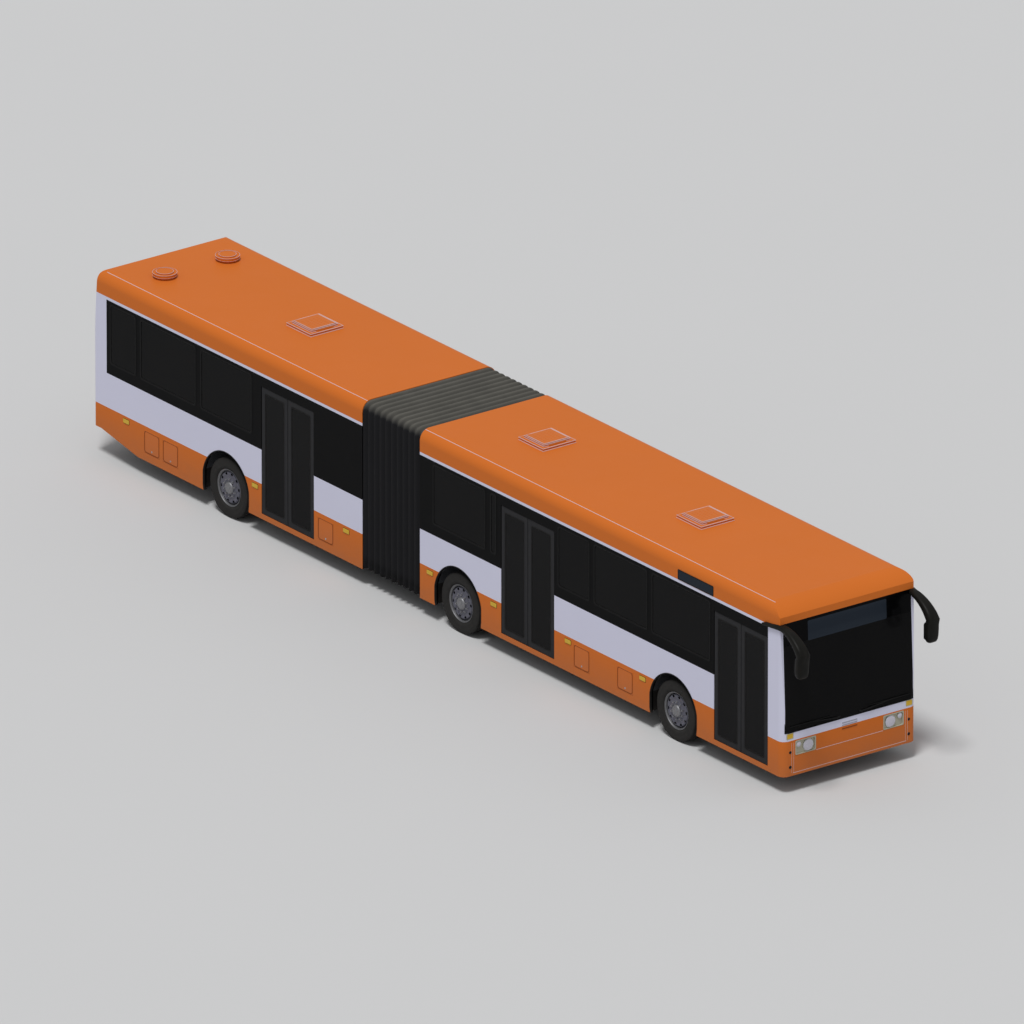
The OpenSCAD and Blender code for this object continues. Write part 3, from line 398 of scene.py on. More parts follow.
class Shape:
    """Gathers the faces of one piece before it becomes an object."""

    def __init__(self, bm=None):
        self.bm = bmesh.new() if bm is None else bm

    def box(self, lo, hi, bevel=0.0):
        verts = bmesh.ops.create_cube(self.bm, size=1.0)["verts"]
        for v in verts:
            v.co = Vector([lo[i] + (v.co[i] + 0.5) * (hi[i] - lo[i]) for i in range(3)])
        if bevel:
            edges = list({e for v in verts for e in v.link_edges})
            bmesh.ops.bevel(self.bm, geom=edges, offset=bevel, segments=2,
                            affect="EDGES", profile=0.5)
        return self

    def loops(self, rows, closed_rows=True, closed_ends=False, caps=False):
        """Quads between rows of points; a row may close on itself, and the ends on each other."""
        made = [[self.bm.verts.new(p) for p in row] for row in rows]
        pairs = list(zip(made, made[1:])) + ([(made[-1], made[0])] if closed_ends else [])
        count = len(made[0])
        for a, b in pairs:
            for i in range(count if closed_rows else count - 1):
                j = (i + 1) % count
                self.bm.faces.new((a[i], a[j], b[j], b[i]))
        if caps:
            self.bm.faces.new(made[0])
            self.bm.faces.new(made[-1])
        return self

    def plate(self, outline, frame, w0, w1, edge=0.0):
        """An outline (u, v) given thickness from w0 to w1 in a local frame, its w1 edge eased."""
        cu = sum(p[0] for p in outline) / len(outline)
        cv = sum(p[1] for p in outline) / len(outline)
        rows = [(0.0, w0), (0.0, w1)] if not edge else [(0.0, w0), (0.0, w1 - edge), (edge, w1)]
        made = []
        for inset, w in rows:
            row = []
            for u, v in outline:
                su = math.copysign(min(inset, abs(u - cu)), u - cu)
                sv = math.copysign(min(inset, abs(v - cv)), v - cv)
                row.append(frame @ Vector((u - su, v - sv, w)))
            made.append(row)
        return self.loops(made, caps=True)

    def ring(self, outer, inner, frame, w0, w1):
        """The band between two outlines of as many points, from w0 to w1."""
        rows = [[frame @ Vector((u, v, w)) for u, v in line]
                for line, w in ((outer, w0), (outer, w1), (inner, w1), (inner, w0))]
        return self.loops(rows, closed_ends=True)

    def lathe(self, profile, frame, steps, closed=True):
        """A profile of (radius, height) turned about the local Z axis."""
        turns = [math.tau * i / steps for i in range(steps)]
        rows = [[frame @ Vector((r * math.cos(a), r * math.sin(a), h)) for r, h in profile] for a in turns]
        return self.loops(rows, closed_rows=closed, closed_ends=True)

    def turned(self, profile, frame, steps):
        """A solid turned from a profile whose two ends lie on the axis."""
        return self.lathe(profile, frame, steps, closed=False)

    def tube(self, path, radius, sides=10, closed=False, flat=1.0):
        """A round bar along a path; radius may be a list, and flat widens it across."""
        path = [Vector(p) for p in path]
        radii = radius if isinstance(radius, (list, tuple)) else [radius] * len(path)
        rows, across = [], None
        for i, p in enumerate(path):
            a = path[i - 1] if i or closed else p
            b = path[(i + 1) % len(path)] if i < len(path) - 1 or closed else p
            ahead = (b - a).normalized()
            if across is None:
                across = Vector((0.31, 0.22, 0.93)).cross(ahead).normalized()
            across = (across - ahead * across.dot(ahead)).normalized()
            lift = ahead.cross(across)
            rows.append([p + radii[i] * (across * flat * math.cos(t) + lift * math.sin(t))
                         for t in (math.tau * k / sides for k in range(sides))])
        return self.loops(rows, closed_ends=closed, caps=not closed)


def rounded(u0, u1, v0, v1, r, steps=5, by=0.0):
    """A rectangle's outline with round corners, drawn in from its four sides by a distance."""
    u0, u1, v0, v1 = u0 + by, u1 - by, v0 + by, v1 - by
    r = min(r, (u1 - u0) / 2 - 1e-4, (v1 - v0) / 2 - 1e-4)
    points = []
    for cu, cv, start in ((u1 - r, v1 - r, 0), (u0 + r, v1 - r, 1), (u0 + r, v0 + r, 2), (u1 - r, v0 + r, 3)):
        for k in range(steps + 1):
            a = (start + k / steps) * math.pi / 2
            points.append((cu + r * math.cos(a), cv + r * math.sin(a)))
    return points


def basis(origin, u, v, w):
    """A local frame whose axes are u, v and w."""
    return Matrix.Translation(Vector(origin)) @ Matrix((u, v, w)).transposed().to_4x4()


def outward(origin, s):
    """Frame on side s (-1 right, 1 left): u forward, v up, w outward."""
    return basis(origin, (1, 0, 0), (0, 0, 1), (0, s, 0))


def side_frame(s):
    """Frame on the body's side wall."""
    return outward((0, s * SIDE_Y, 0), s)


def across(x, z=0.0):
    """Frame at a distance along the bus: u left, v up, w forward."""
    return basis((x, 0, z), (0, 1, 0), (0, 0, 1), (1, 0, 0))


def lying(z):
    """Frame at a height: u forward, v left, w up."""
    return basis((0, 0, z), (1, 0, 0), (0, 1, 0), (0, 0, 1))


def at(frame_, u, v, w=0.0):
    """The frame moved within itself."""
    return frame_ @ Matrix.Translation((u, v, w))


def around(frame_, count, radius, height):
    """Frames spaced evenly on a circle."""
    turns = [math.tau * (i + 0.5) / count for i in range(count)]
    return [at(frame_, radius * math.cos(a), radius * math.sin(a), height) for a in turns]


def circle(frame_, radius, count):
    """Points spaced evenly on a circle in the frame's plane."""
    turns = [math.tau * k / count for k in range(count)]
    return [frame_ @ Vector((radius * math.cos(a), radius * math.sin(a), 0)) for a in turns]


def divided(corners, count):
    """A closed path through the corners, with each side in a number of equal steps."""
    sides = zip(corners, corners[1:] + corners[:1])
    return [Vector(a).lerp(Vector(b), k / count) for a, b in sides for k in range(count)]


FRONT = across(FRONT_X)
REAR = basis((REAR_X, 0, 0), (0, 1, 0), (0, 0, 1), (-1, 0, 0))


def piece(shape, name, body, material, smooth=35.0, stands_for=()):
    """Makes the gathered faces an object that rides on a body."""
    bmesh.ops.recalc_face_normals(shape.bm, faces=shape.bm.faces)
    mesh = bpy.data.meshes.new(name)
    shape.bm.to_mesh(mesh)
    shape.bm.free()
    for m in material if isinstance(material, (list, tuple)) else [material]:
        mesh.materials.append(m)
    mesh.shade_smooth()
    mesh.set_sharp_from_angle(angle=math.radians(smooth))
    obj = bpy.data.objects.new(name, mesh)
    bpy.context.scene.collection.objects.link(obj)
    if body:
        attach(obj, body)
    if stands_for:
        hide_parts(*stands_for)
    return obj


def paint_node(node, material):
    mesh = NODES[node].data
    mesh.materials.clear()
    mesh.materials.append(material)


# ---------- the stage ----------

def camera():
    """Long lens at the viewing angle of the reference: right front corner, from above."""
    back = Vector((4, -3, 2)).normalized()
    aim = Vector((-0.432, 0.336, 1.368))
    lens, sensor, width = 1500.0, 36.0, 15.634
    data = bpy.data.cameras.new("camera")
    data.lens, data.sensor_width = lens, sensor
    distance = width * lens / sensor
    data.clip_start, data.clip_end = 10.0, distance * 2
    obj = bpy.data.objects.new("camera", data)
    obj.location = aim + back * distance
    obj.rotation_mode = "QUATERNION"
    obj.rotation_quaternion = (-back).to_track_quat("-Z", "Y")
    bpy.context.scene.collection.objects.link(obj)
    bpy.context.scene.camera = obj


def studio():
    """Pale floor, even sky light and one broad key light from high on the right front."""
    size = 400.0
    mesh = bpy.data.meshes.new("floor")
    corners = [(-size, -size, 0), (size, -size, 0), (size, size, 0), (-size, size, 0)]
    mesh.from_pydata(corners, [], [(0, 1, 2, 3)])
    mesh.materials.append(studio_floor())
    floor = bpy.data.objects.new("floor", mesh)
    bpy.context.scene.collection.objects.link(floor)
    world = bpy.data.worlds.new("studio")
    world.use_nodes = True
    world.node_tree.nodes["Background"].inputs["Color"].default_value = (0.97, 0.98, 1.0, 1)
    world.node_tree.nodes["Background"].inputs["Strength"].default_value = 0.42
    bpy.context.scene.world = world
    light = bpy.data.lights.new("key", "SUN")
    light.energy = 1.9
    light.angle = math.radians(14)
    lamp = bpy.data.objects.new("key", light)
    lamp.rotation_mode = "QUATERNION"
    lamp.rotation_quaternion = Vector((0.19, -0.30, 0.93)).to_track_quat("Z", "Y")
    bpy.context.scene.collection.objects.link(lamp)
    bpy.context.scene.view_settings.view_transform = "Standard"


# ---------- wheels ----------

WHEELS = {j["child"]: Vector(j["pos_m"]) for j in frame["joints"] if j["name"].startswith("roll_")}
RIM_R = (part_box("rim_front_left")[1].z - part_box("rim_front_left")[0].z) / 2
HUB_Z = WHEELS["wheel_front_left"].z


def tyre_profile(radius, half):
    """Closed outline of a city bus tyre: three tread grooves, shoulder, bulged wall and bead."""
    bead = RIM_R + 0.001
    side = [(radius, 0.0)]
    for groove in (0.0, 0.36, 0.66):
        a = groove * half
        start = [] if groove == 0.0 else [(radius - 0.001, a - 0.008)]
        side += start + [(radius - 0.013, max(a - 0.005, 0.0)), (radius - 0.013, a + 0.005),
                         (radius - 0.001, a + 0.008)]
    side = side[1:]
    wall = [(0.003, 0.86), (0.008, 0.91), (0.018, 0.945), (0.026, 0.95), (0.036, 0.968), (0.058, 0.985),
            (0.062, 0.992), (0.066, 0.986), (0.100, 0.998), (0.118, 0.995), (0.122, 1.0), (0.138, 0.99),
            (0.148, 0.965), (0.157, 0.96), (0.166, 0.91)]
    depth = radius - bead
    side += [(radius - d * depth / 0.186, half * a) for d, a in wall]
    side += [(bead + 0.006, 0.80 * half), (bead, 0.77 * half), (bead - 0.010, 0.70 * half)]
    return side + [(r, -a) for r, a in reversed(side)]


def rim_profile(half):
    """Closed outline of a rim: flanges, bead seats and drop centre, with a wall of 8 mm."""
    r = RIM_R
    outer = [(r, half), (r - 0.002, half - 0.006), (r - 0.014, half - 0.014), (r - 0.016, half - 0.036),
             (r - 0.034, half - 0.052), (r - 0.038, 0.0), (r - 0.034, 0.052 - half),
             (r - 0.016, 0.036 - half), (r - 0.014, 0.014 - half), (r - 0.002, 0.006 - half), (r, -half)]
    inner = [(q - 0.010, a * 0.985) for q, a in reversed(outer)]
    return outer + inner


def disc_wall(disc, frame_, name, body):
    """Pressed wheel disc with ten hand holes, given thickness and rounded by modifiers."""
    rows = [(0.078, disc + 0.012), (0.102, disc + 0.012), (0.124, disc + 0.010), (0.150, disc),
            (0.172, disc - 0.002), (0.192, disc), (0.208, disc + 0.006), (0.232, disc + 0.010),
            (0.246, disc + 0.006), (RIM_R - 0.046, disc - 0.018), (RIM_R - 0.046, disc - 0.045)]
    steps = 60
    bm = bmesh.new()
    grid = [[bm.verts.new(frame_ @ Vector((r * math.cos(a), r * math.sin(a), h)))
             for a in (math.tau * i / steps for i in range(steps))] for r, h in rows]
    holes = range(6, 8)
    for k in range(len(rows) - 1):
        for i in range(steps):
            if k in holes and i % 6 in (0, 1):
                continue
            j = (i + 1) % steps
            bm.faces.new((grid[k][i], grid[k][j], grid[k + 1][j], grid[k + 1][i]))
    obj = piece(Shape(bm), name, body, M["wheel"], smooth=60)
    solid = obj.modifiers.new("thickness", "SOLIDIFY")
    solid.thickness = 0.008
    solid.offset = 0.0
    obj.modifiers.new("rounding", "SUBSURF").render_levels = 1
    return obj


def hub_cap(tag, body, outer, cap, disc):
    """Stepped hub cap with eight small bolts."""
    shape = Shape()
    shape.turned([(0.0, cap), (0.030, cap), (0.034, cap - 0.004), (0.052, cap - 0.004), (0.058, cap - 0.001),
                  (0.080, cap - 0.004), (0.092, cap - 0.012), (0.098, cap - 0.026), (0.100, disc + 0.030),
                  (0.104, disc + 0.026), (0.104, disc - 0.06), (0.0, disc - 0.06)], outer, 48)
    for spot in around(outer, 8, 0.068, cap - 0.004):
        shape.turned([(0.0, 0.005), (0.0065, 0.005), (0.0075, 0.0), (0.0, 0.0)], spot, 6)
    piece(shape, f"hub_cap_{tag}", body, M["hub"])


def wheel_nuts(tag, body, outer, disc):
    """Ten wheel nuts on their washers."""
    shape = Shape()
    for spot in around(outer, 10, 0.1375, disc + 0.006):
        shape.turned([(0.0, 0.004), (0.021, 0.004), (0.021, 0.0), (0.0, 0.0)], spot, 16)
        shape.turned([(0.0, 0.030), (0.009, 0.030), (0.010, 0.022), (0.0155, 0.020), (0.0165, 0.004),
                      (0.0, 0.004)], spot, 6)
    piece(shape, f"wheel_nuts_{tag}", body, M["zinc"])


def wheel(body, centre):
    """Tyres, rims, disc, nuts and hub cap of one wheel or twin pair."""
    tag = body.removeprefix("wheel_")
    s = 1 if tag.endswith("left") else -1
    tyres = sorted(islands(f"tyre_{tag}"), key=lambda b: -s * (b[0].y + b[1].y))
    mids = [outward((centre.x, (lo.y + hi.y) / 2, centre.z), s) for lo, hi in tyres]
    half = (tyres[0][1].y - tyres[0][0].y) / 2 - 0.022
    disc = half - 0.024
    rubber, rims = Shape(), Shape()
    for (lo, hi), mid in zip(tyres, mids):
        rubber.lathe(tyre_profile((hi.z - lo.z) / 2, (hi.y - lo.y) / 2), mid, steps=96)
        rims.lathe(rim_profile(half), mid, steps=72)
    piece(rubber, f"tyre_rubber_{tag}", body, M["tyre"], 50, [f"tyre_{tag}"])
    piece(rims, f"rim_ring_{tag}", body, M["rim_ring"], 50, [f"rim_{tag}"])
    disc_wall(disc, mids[0], f"wheel_disc_{tag}", body)
    hub_cap(tag, body, mids[0], half + 0.026, disc)
    wheel_nuts(tag, body, mids[0], disc)


# ---------- doors ----------

FRAME_W = 0.092


def door_leaf(n, part):
    """Door leaf: rounded frame, recessed glass in a gasket, edge seal, pivot post and grab bar."""
    body = f"door_{n}_{part}"
    lo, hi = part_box(body)
    z0, z1 = lo.z + 0.0057, hi.z - 0.0057
    face = outward((0, lo.y, 0), 1)
    edges = (lo.x, hi.x, z0, z1)
    thick = 0.040
    hinge_x = lo.x + 0.014 if part == "rear" else hi.x - 0.014
    free = 1 if part == "rear" else -1
    shape = Shape()
    shape.ring(rounded(*edges, 0.010), rounded(*edges, 0.030, by=FRAME_W), face, 0.003, thick)
    shape.ring(rounded(*edges, 0.010, by=0.006), rounded(*edges, 0.036, by=FRAME_W - 0.010), face, 0.0, 0.004)
    piece(shape, f"door_frame_{n}_{part}", body, M["door_frame"], stands_for=[body])
    shape = Shape()
    glass = rounded(*edges, 0.032, by=FRAME_W - 0.004)
    shape.plate(glass, face, 0.014, 0.006)
    piece(shape, f"door_glass_{n}_{part}", body, M["door_glass"])
    shape = Shape()
    shape.ring(glass, rounded(*edges, 0.022, by=FRAME_W + 0.012), face, 0.003, 0.017)
    edge_x = hi.x if free > 0 else lo.x
    shape.box((edge_x - 0.012, lo.y + 0.010, z0 + 0.01), (edge_x + 0.0005, lo.y + 0.030, z1 - 0.01), 0.003)
    brush = rounded(lo.x + 0.02, hi.x - 0.02, z0 - 0.0040, z0 + 0.006, 0.002)
    shape.plate(brush, face, 0.010, 0.022)
    piece(shape, f"door_seals_{n}_{part}", body, M["rubber"])
    door_post(f"door_post_{n}_{part}", body, hinge_x, lo.y + thick, hinge_x + free * 0.50)


def door_post(name, body, hinge_x, wall, bar_x):
    """Pivot post with three brackets, and a grab bar on the inner face at bar_x."""
    lo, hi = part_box(body)
    z0, z1 = lo.z + 0.0057, hi.z - 0.0057
    post_y = hi.y - 0.014
    shape = Shape()
    shape.turned([(0.0, lo.z), (0.012, lo.z), (0.014, lo.z + 0.004), (0.014, hi.z - 0.004), (0.012, hi.z),
                  (0.0, hi.z)], Matrix.Translation((hinge_x, post_y, 0)), 20)
    for z in (z0 + 0.16, (z0 + z1) / 2, z1 - 0.16):
        shape.box((hinge_x - 0.014, wall - 0.002, z - 0.04),
                  (hinge_x + 0.014, post_y + 0.006, z + 0.04), 0.004)
    foot = [(-0.002, 0.62), (0.030, 0.64), (0.048, 0.68)]
    head = [(0.048, 0.74), (0.030, 0.70), (-0.002, 0.68)]
    bar = [(bar_x, wall + dy, z0 + dz) for dy, dz in foot] + [(bar_x, wall + dy, z1 - dz) for dy, dz in head]
    shape.tube(bar, 0.014, sides=10)
    piece(shape, name, body, M["grab_bar"])


# ---------- bellows ----------

def arch_point(t, inset, z0):
    """Point on the body's cross-section, t from 0 (right foot) to 1 (left foot), and its outward normal."""
    half, top, radius = SIDE_Y, ROOF_Z, ROOF_R
    legs = top - radius - z0
    arc = radius * math.pi / 2
    flat = 2 * (half - radius)
    d = t * (2 * legs + 2 * arc + flat)
    if d <= legs:
        p, n = Vector((-half, z0 + d)), Vector((-1, 0))
    elif d <= legs + arc:
        a = math.pi - (d - legs) / radius
        n = Vector((math.cos(a), math.sin(a)))
        p = Vector((radius - half, top - radius)) + n * radius
    elif d <= legs + arc + flat:
        p, n = Vector((radius - half + d - legs - arc, top)), Vector((0, 1))
    elif d <= legs + 2 * arc + flat:
        a = math.pi / 2 - (d - legs - arc - flat) / radius
        n = Vector((math.cos(a), math.sin(a)))
        p = Vector((half - radius, top - radius)) + n * radius
    else:
        p, n = Vector((half, z0 + 2 * legs + 2 * arc + flat - d)), Vector((1, 0))
    return p - n * inset


def arch_stops(z0):
    """Values of t that follow the cross-section closely at its round corners."""
    radius = ROOF_R
    legs = ROOF_Z - radius - z0
    arc = radius * math.pi / 2
    flat = 2 * (SIDE_Y - radius)
    total = 2 * legs + 2 * arc + flat
    stops = [legs * k / 12 for k in range(12)]
    stops += [legs + arc * k / 8 for k in range(8)]
    stops += [legs + arc + flat * k / 12 for k in range(13)]
    stops += [legs + arc + flat + arc * k / 8 for k in range(1, 9)]
    stops += [legs + 2 * arc + flat + legs * k / 12 for k in range(1, 13)]
    return [d / total for d in stops]


FOLDS = 10


def hoop():
    """Light alloy hoop that carries the middle fold from inside."""
    z0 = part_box("bellows_hoop")[0].z
    section = [(0.024, -0.008), (0.024, 0.008), (0.060, 0.016), (0.060, -0.016)]
    rows = []
    for t in arch_stops(z0):
        corners = [(arch_point(t, inset, z0), dx) for inset, dx in section]
        rows.append([Vector((PIVOT.x + dx, p.x, p.y)) for p, dx in corners])
    piece(Shape().loops(rows, caps=True), "hoop_bar", "bellows_hoop", M["chassis_coat"],
          stands_for=["bellows_hoop"])


def bellows():
    """Pleated cover over the joint: ten folds of coated fabric, running from one section to the other."""
    z0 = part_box("bellows")[0].z
    x0, x1 = REAR_START_X + 0.002, FRONT_END_X - 0.002
    stops = arch_stops(z0)
    per_fold = 8
    steps = FOLDS * per_fold
    rows = []
    for k in range(steps + 1):
        phase = (k % per_fold) / per_fold
        wave = 0.5 + 0.5 * math.cos(math.tau * phase)
        inset = 0.072 - 0.060 * wave ** 0.75
        x = x0 + (x1 - x0) * k / steps
        rows.append([Vector((x, p.x, p.y)) for p in (arch_point(t, inset, z0) for t in stops)])
    shape = Shape()
    shape.loops(rows, closed_rows=False)
    obj = piece(shape, "bellows_cover", None, M["pleats"], 80, ["bellows"])
    solid = obj.modifiers.new("thickness", "SOLIDIFY")
    solid.thickness = 0.003
    bpy.context.view_layer.objects.active = obj
    obj.select_set(True)
    bpy.ops.object.modifier_apply(modifier=solid.name)
    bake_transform(obj)


# ---------- windows and glazing ----------

def window_gaskets(body):
    """Black rubber gaskets with round corners on the side panes."""
    shape = Shape()
    for lo, hi in SIDE_PANES[body]:
        s = 1 if hi.y > 0 else -1
        out = side_frame(s)
        edges = (lo.x, hi.x, lo.z, hi.z)
        shape.ring(rounded(*edges, 0.055, by=-0.014), rounded(*edges, 0.042, by=0.012), out, -0.006, 0.0035)
    name = "front_gaskets" if body == "root" else "rear_gaskets"
    piece(shape, name, body, M["gasket"])


def screen_x(z):
    """Front face of the windscreen at height z."""
    share = (z - SCREEN_LO.z) / (SCREEN_HI.z - SCREEN_LO.z)
    return FRONT_X - 0.004 - LEAN_DX * min(max(share, 0.0), 1.0)


LEAN_DX, LEAN_DZ = 0.076, 1.76    # the windscreen leans back this far over this height
LEAN = basis((FRONT_X - 0.004, 0, SCREEN_LO.z), (0, 1, 0), Vector((-LEAN_DX, 0, LEAN_DZ)).normalized(),
             Vector((LEAN_DZ, 0, LEAN_DX)).normalized())
CORNER_R = 0.120


def corner_drop(y):
    """How far the front face has curved back at distance y from the middle."""
    across = max(y - (SIDE_Y - CORNER_R), 0.0)
    return CORNER_R - math.sqrt(CORNER_R ** 2 - across ** 2)


def screen_trim():
    """Rubber round the windscreen, and two wipers at rest."""
    shape = Shape()
    edge = SIDE_Y - WALL_T
    for s in (-1, 1):
        heights = np.linspace(SCREEN_LO.z, CANT_Z + 0.05, 8)
        shape.tube([(screen_x(z) - corner_drop(edge) + 0.002, s * edge, z) for z in heights], 0.008, sides=8)
    foot_x = screen_x(SCREEN_LO.z) + 0.002
    foot = [(foot_x - corner_drop(abs(y)), y, SCREEN_LO.z) for y in np.linspace(-edge, edge, 41)]
    shape.tube(foot, 0.008, sides=8)
    piece(shape, "screen_rubber", "root", M["gasket"])
    wiper(-1, "wiper_right")
    wiper(1, "wiper_left")


def wiper(s, name):
    """Parked wiper: pivot, spring arm, blade holder and blade, lying along the screen's foot."""
    reach = 0.94
    shape = Shape()
    pivot = Vector((s * 0.20, 0.035, 0.010))
    tip = Vector((s * (0.20 + reach), 0.085, 0.018))
    knuckle = pivot.lerp(tip, 0.12) + Vector((0, 0.004, 0.010))
    middle = pivot.lerp(tip, 0.55) + Vector((0, 0.03, 0.014))
    boss = [(0.0, 0.024), (0.014, 0.022), (0.020, 0.012), (0.022, 0.0), (0.0, 0.0)]
    shape.turned(boss, at(LEAN, pivot.x, pivot.y), 20)
    shape.tube([LEAN @ p for p in (pivot, knuckle, middle)], [0.011, 0.009, 0.006], sides=8, flat=1.3)
    blade0, blade1 = pivot.lerp(tip, 0.16) + Vector((0, 0.05, 0)), tip + Vector((0, 0.012, 0))
    bow = [blade0.lerp(blade1, k / 10) + Vector((0, 0, 0.004 * math.sin(math.pi * k / 10)))
           for k in range(11)]
    widths = [0.003, 0.005, 0.006, 0.006, 0.007, 0.008, 0.007, 0.006, 0.006, 0.005, 0.003]
    shape.tube([LEAN @ p for p in bow], widths, sides=6)
    edge = [blade0.lerp(blade1, k / 6) + Vector((0, -0.006, -0.006)) for k in range(7)]
    shape.tube([LEAN @ p for p in edge], 0.0035, sides=6)
    piece(shape, name, "root", M["gasket"])


# ---------- mirrors ----------

def mirror(s):
    """Long curved ear: a flattened arm that swells without a break into the hanging mirror head."""
    y = s * (SIDE_Y - 0.045)
    centre_x, centre_z, radius = FRONT_X - 0.13, CANT_Z - 0.697, 0.722
    stations = [(FRONT_X - 0.46, CANT_Z - 0.018, 0.020, 0.020),
                (FRONT_X - 0.40, CANT_Z - 0.006, 0.030, 0.034),
                (FRONT_X - 0.26, CANT_Z + 0.004, 0.034, 0.040)]
    for k in range(9):
        a = math.radians(88 - 52 * k / 8)
        grow = k / 8
        stations.append((centre_x + radius * math.cos(a), centre_z + radius * math.sin(a),
                         0.042 + 0.034 * grow ** 1.2, 0.060 + 0.044 * grow))
    stations += [(FRONT_X + 0.432, 2.335, 0.074, 0.105), (FRONT_X + 0.424, 2.240, 0.076, 0.108),
                 (FRONT_X + 0.420, 2.150, 0.074, 0.106), (FRONT_X + 0.418, 2.085, 0.066, 0.098),
                 (FRONT_X + 0.417, 2.050, 0.050, 0.080), (FRONT_X + 0.416, 2.034, 0.024, 0.050)]
    rows = []
    for i, (x, z, thick, wide) in enumerate(stations):
        before, after = stations[max(i - 1, 0)], stations[min(i + 1, len(stations) - 1)]
        ahead = Vector((after[0] - before[0], 0, after[1] - before[1])).normalized()
        side = Vector((0, 1, 0))
        lift = ahead.cross(side)
        off = y if i > 3 else s * (SIDE_Y + 0.030 - 0.018 * i)
        middle = Vector((x, off, z))
        rows.append([middle + side * wide * sq(math.cos(t)) + lift * thick * sq(math.sin(t))
                     for t in (math.tau * k / 24 for k in range(24))])
    shape = Shape()
    shape.loops(rows, caps=True)
    tag = "right" if s < 0 else "left"
    piece(shape, f"mirror_ear_{tag}", "root", M["mirror_shell"], 50, ["mirrors"])
    glass = basis((FRONT_X + 0.3485, y, 2.215), (0, 1, 0), (0, 0, 1), (-1, 0, 0))
    edges = (-0.092, 0.092, -0.150, 0.135)
    shape = Shape()
    shape.ring(rounded(*edges, 0.042), rounded(*edges, 0.034, by=0.012), glass, -0.012, 0.005)
    piece(shape, f"mirror_rim_{tag}", "root", M["gasket"])
    shape = Shape()
    shape.plate(rounded(-0.086, 0.086, -0.144, 0.129, 0.038), glass, -0.010, 0.001)
    piece(shape, f"mirror_glass_{tag}", "root", M["mirror_glass"])


def sq(c):
    """Cosine or sine pushed towards a rounded square."""
    return math.copysign(abs(c) ** 0.6, c)


# ---------- lamps and small front details ----------

def front_lamps():
    """Headlamps with a bezel, two round lenses and ribs; indicators in their own frames."""
    bezels, glass, chrome, amber = Shape(), Shape(), Shape(), Shape()
    lamp_y, half, z0, z1 = SIDE_Y - 0.440, 0.185, BUMPER_HI.z + 0.002, BUMPER_HI.z + 0.230
    for s in (-1, 1):
        y = s * lamp_y
        y0, y1 = y - half, y + half
        bezels.ring(rounded(y0 - 0.010, y1 + 0.010, z0 + 0.004, z1 + 0.008, 0.022),
                    rounded(y0 + 0.010, y1 - 0.010, z0 + 0.012, z1 - 0.010, 0.030), FRONT, -0.030, 0.003)
        bezels.plate(rounded(y0, y1, z0, z1, 0.02), FRONT, -0.045, -0.028)
        bezels.plate(rounded(y0 + 0.008, y1 - 0.008, z0 + 0.012, z1 - 0.008, 0.026), FRONT, -0.029, -0.020)
        centre = at(FRONT, y - s * 0.055, (z0 + z1) / 2)
        small = at(FRONT, y + s * 0.125, z1 - 0.062)
        for spot, r in ((centre, 0.088), (small, 0.036)):
            chrome.turned([(r + 0.010, -0.026), (r + 0.008, -0.006), (r, -0.004), (r - 0.010, -0.012),
                           (0.45 * r, -0.023), (0.0, -0.0235), (0.0, -0.027)], spot, 40)
            glass.turned([(0.0, 0.0035), (0.35 * r, 0.003), (0.7 * r, 0.001), (0.94 * r, -0.002),
                          (0.98 * r, -0.006), (0.0, -0.010)], spot, 40)
        turn = s * (SIDE_Y - 0.145)
        edges = (turn - 0.058, turn + 0.058, BAND_Z + 0.034, BAND_Z + 0.120)
        bezels.ring(rounded(*edges, 0.014, by=-0.006), rounded(*edges, 0.012, by=0.004), FRONT, -0.02, 0.001)
        amber.plate(rounded(*edges, 0.014), FRONT, -0.040, -0.0005, 0.004)
    piece(bezels, "headlamp_bezels", "root", M["lamp_frame"], stands_for=["front_lamps"])
    piece(chrome, "headlamp_reflectors", "root", M["reflector"], smooth=40)
    piece(glass, "headlamp_lenses", "root", M["clear_lens"], smooth=40)
    piece(amber, "front_indicators", "root", M["amber"])


def side_markers(node, body, name):
    """Amber side markers: a ribbed lens in a thin rubber foot."""
    lenses, feet = Shape(), Shape()
    for lo, hi in islands(node):
        if hi.y - lo.y > 0.02:
            continue
        out = side_frame(1 if hi.y > 0 else -1)
        feet.plate(rounded(lo.x, hi.x, lo.z, hi.z, 0.012), out, 0.0, 0.003, 0.001)
        edge = rounded(lo.x + 0.005, hi.x - 0.005, lo.z + 0.006, hi.z - 0.006, 0.010)
        lenses.plate(edge, out, 0.002, 0.0085, 0.003)
    piece(feet, f"{name}_feet", body, M["rubber"])
    piece(lenses, name, body, M["amber"])


def tail_lamps():
    """Upright tail lamp units of three stacked round lenses in a dark housing."""
    housing, red, amber, clear = Shape(), Shape(), Shape(), Shape()
    for lo, hi in islands("rear_lamps"):
        if hi.y - lo.y < 0.02:
            continue
        y, half = (lo.y + hi.y) / 2, (hi.y - lo.y) / 2
        housing.plate(rounded(y - half, y + half, lo.z, hi.z, 0.03), REAR, -0.044, -0.006, 0.006)
        step = (hi.z - lo.z) / 3
        r = min(half, step / 2) - 0.008
        for k, shape in enumerate((clear, red, amber)):
            shape.turned([(0.0, 0.0), (0.5 * r, -0.001), (0.85 * r, -0.004), (r, -0.010), (r, -0.02),
                          (0.0, -0.02)], at(REAR, y, lo.z + step * (k + 0.5)), 36)
    piece(housing, "tail_lamp_housings", "rear_section", M["lamp_dark"],
          stands_for=["rear_lamps"])
    lamps = ((red, "red", "red"), (amber, "amber", "amber"), (clear, "clear", "clear_lens"))
    for shape, name, finish in lamps:
        piece(shape, f"tail_lamp_{name}", "rear_section", M[finish], smooth=40)


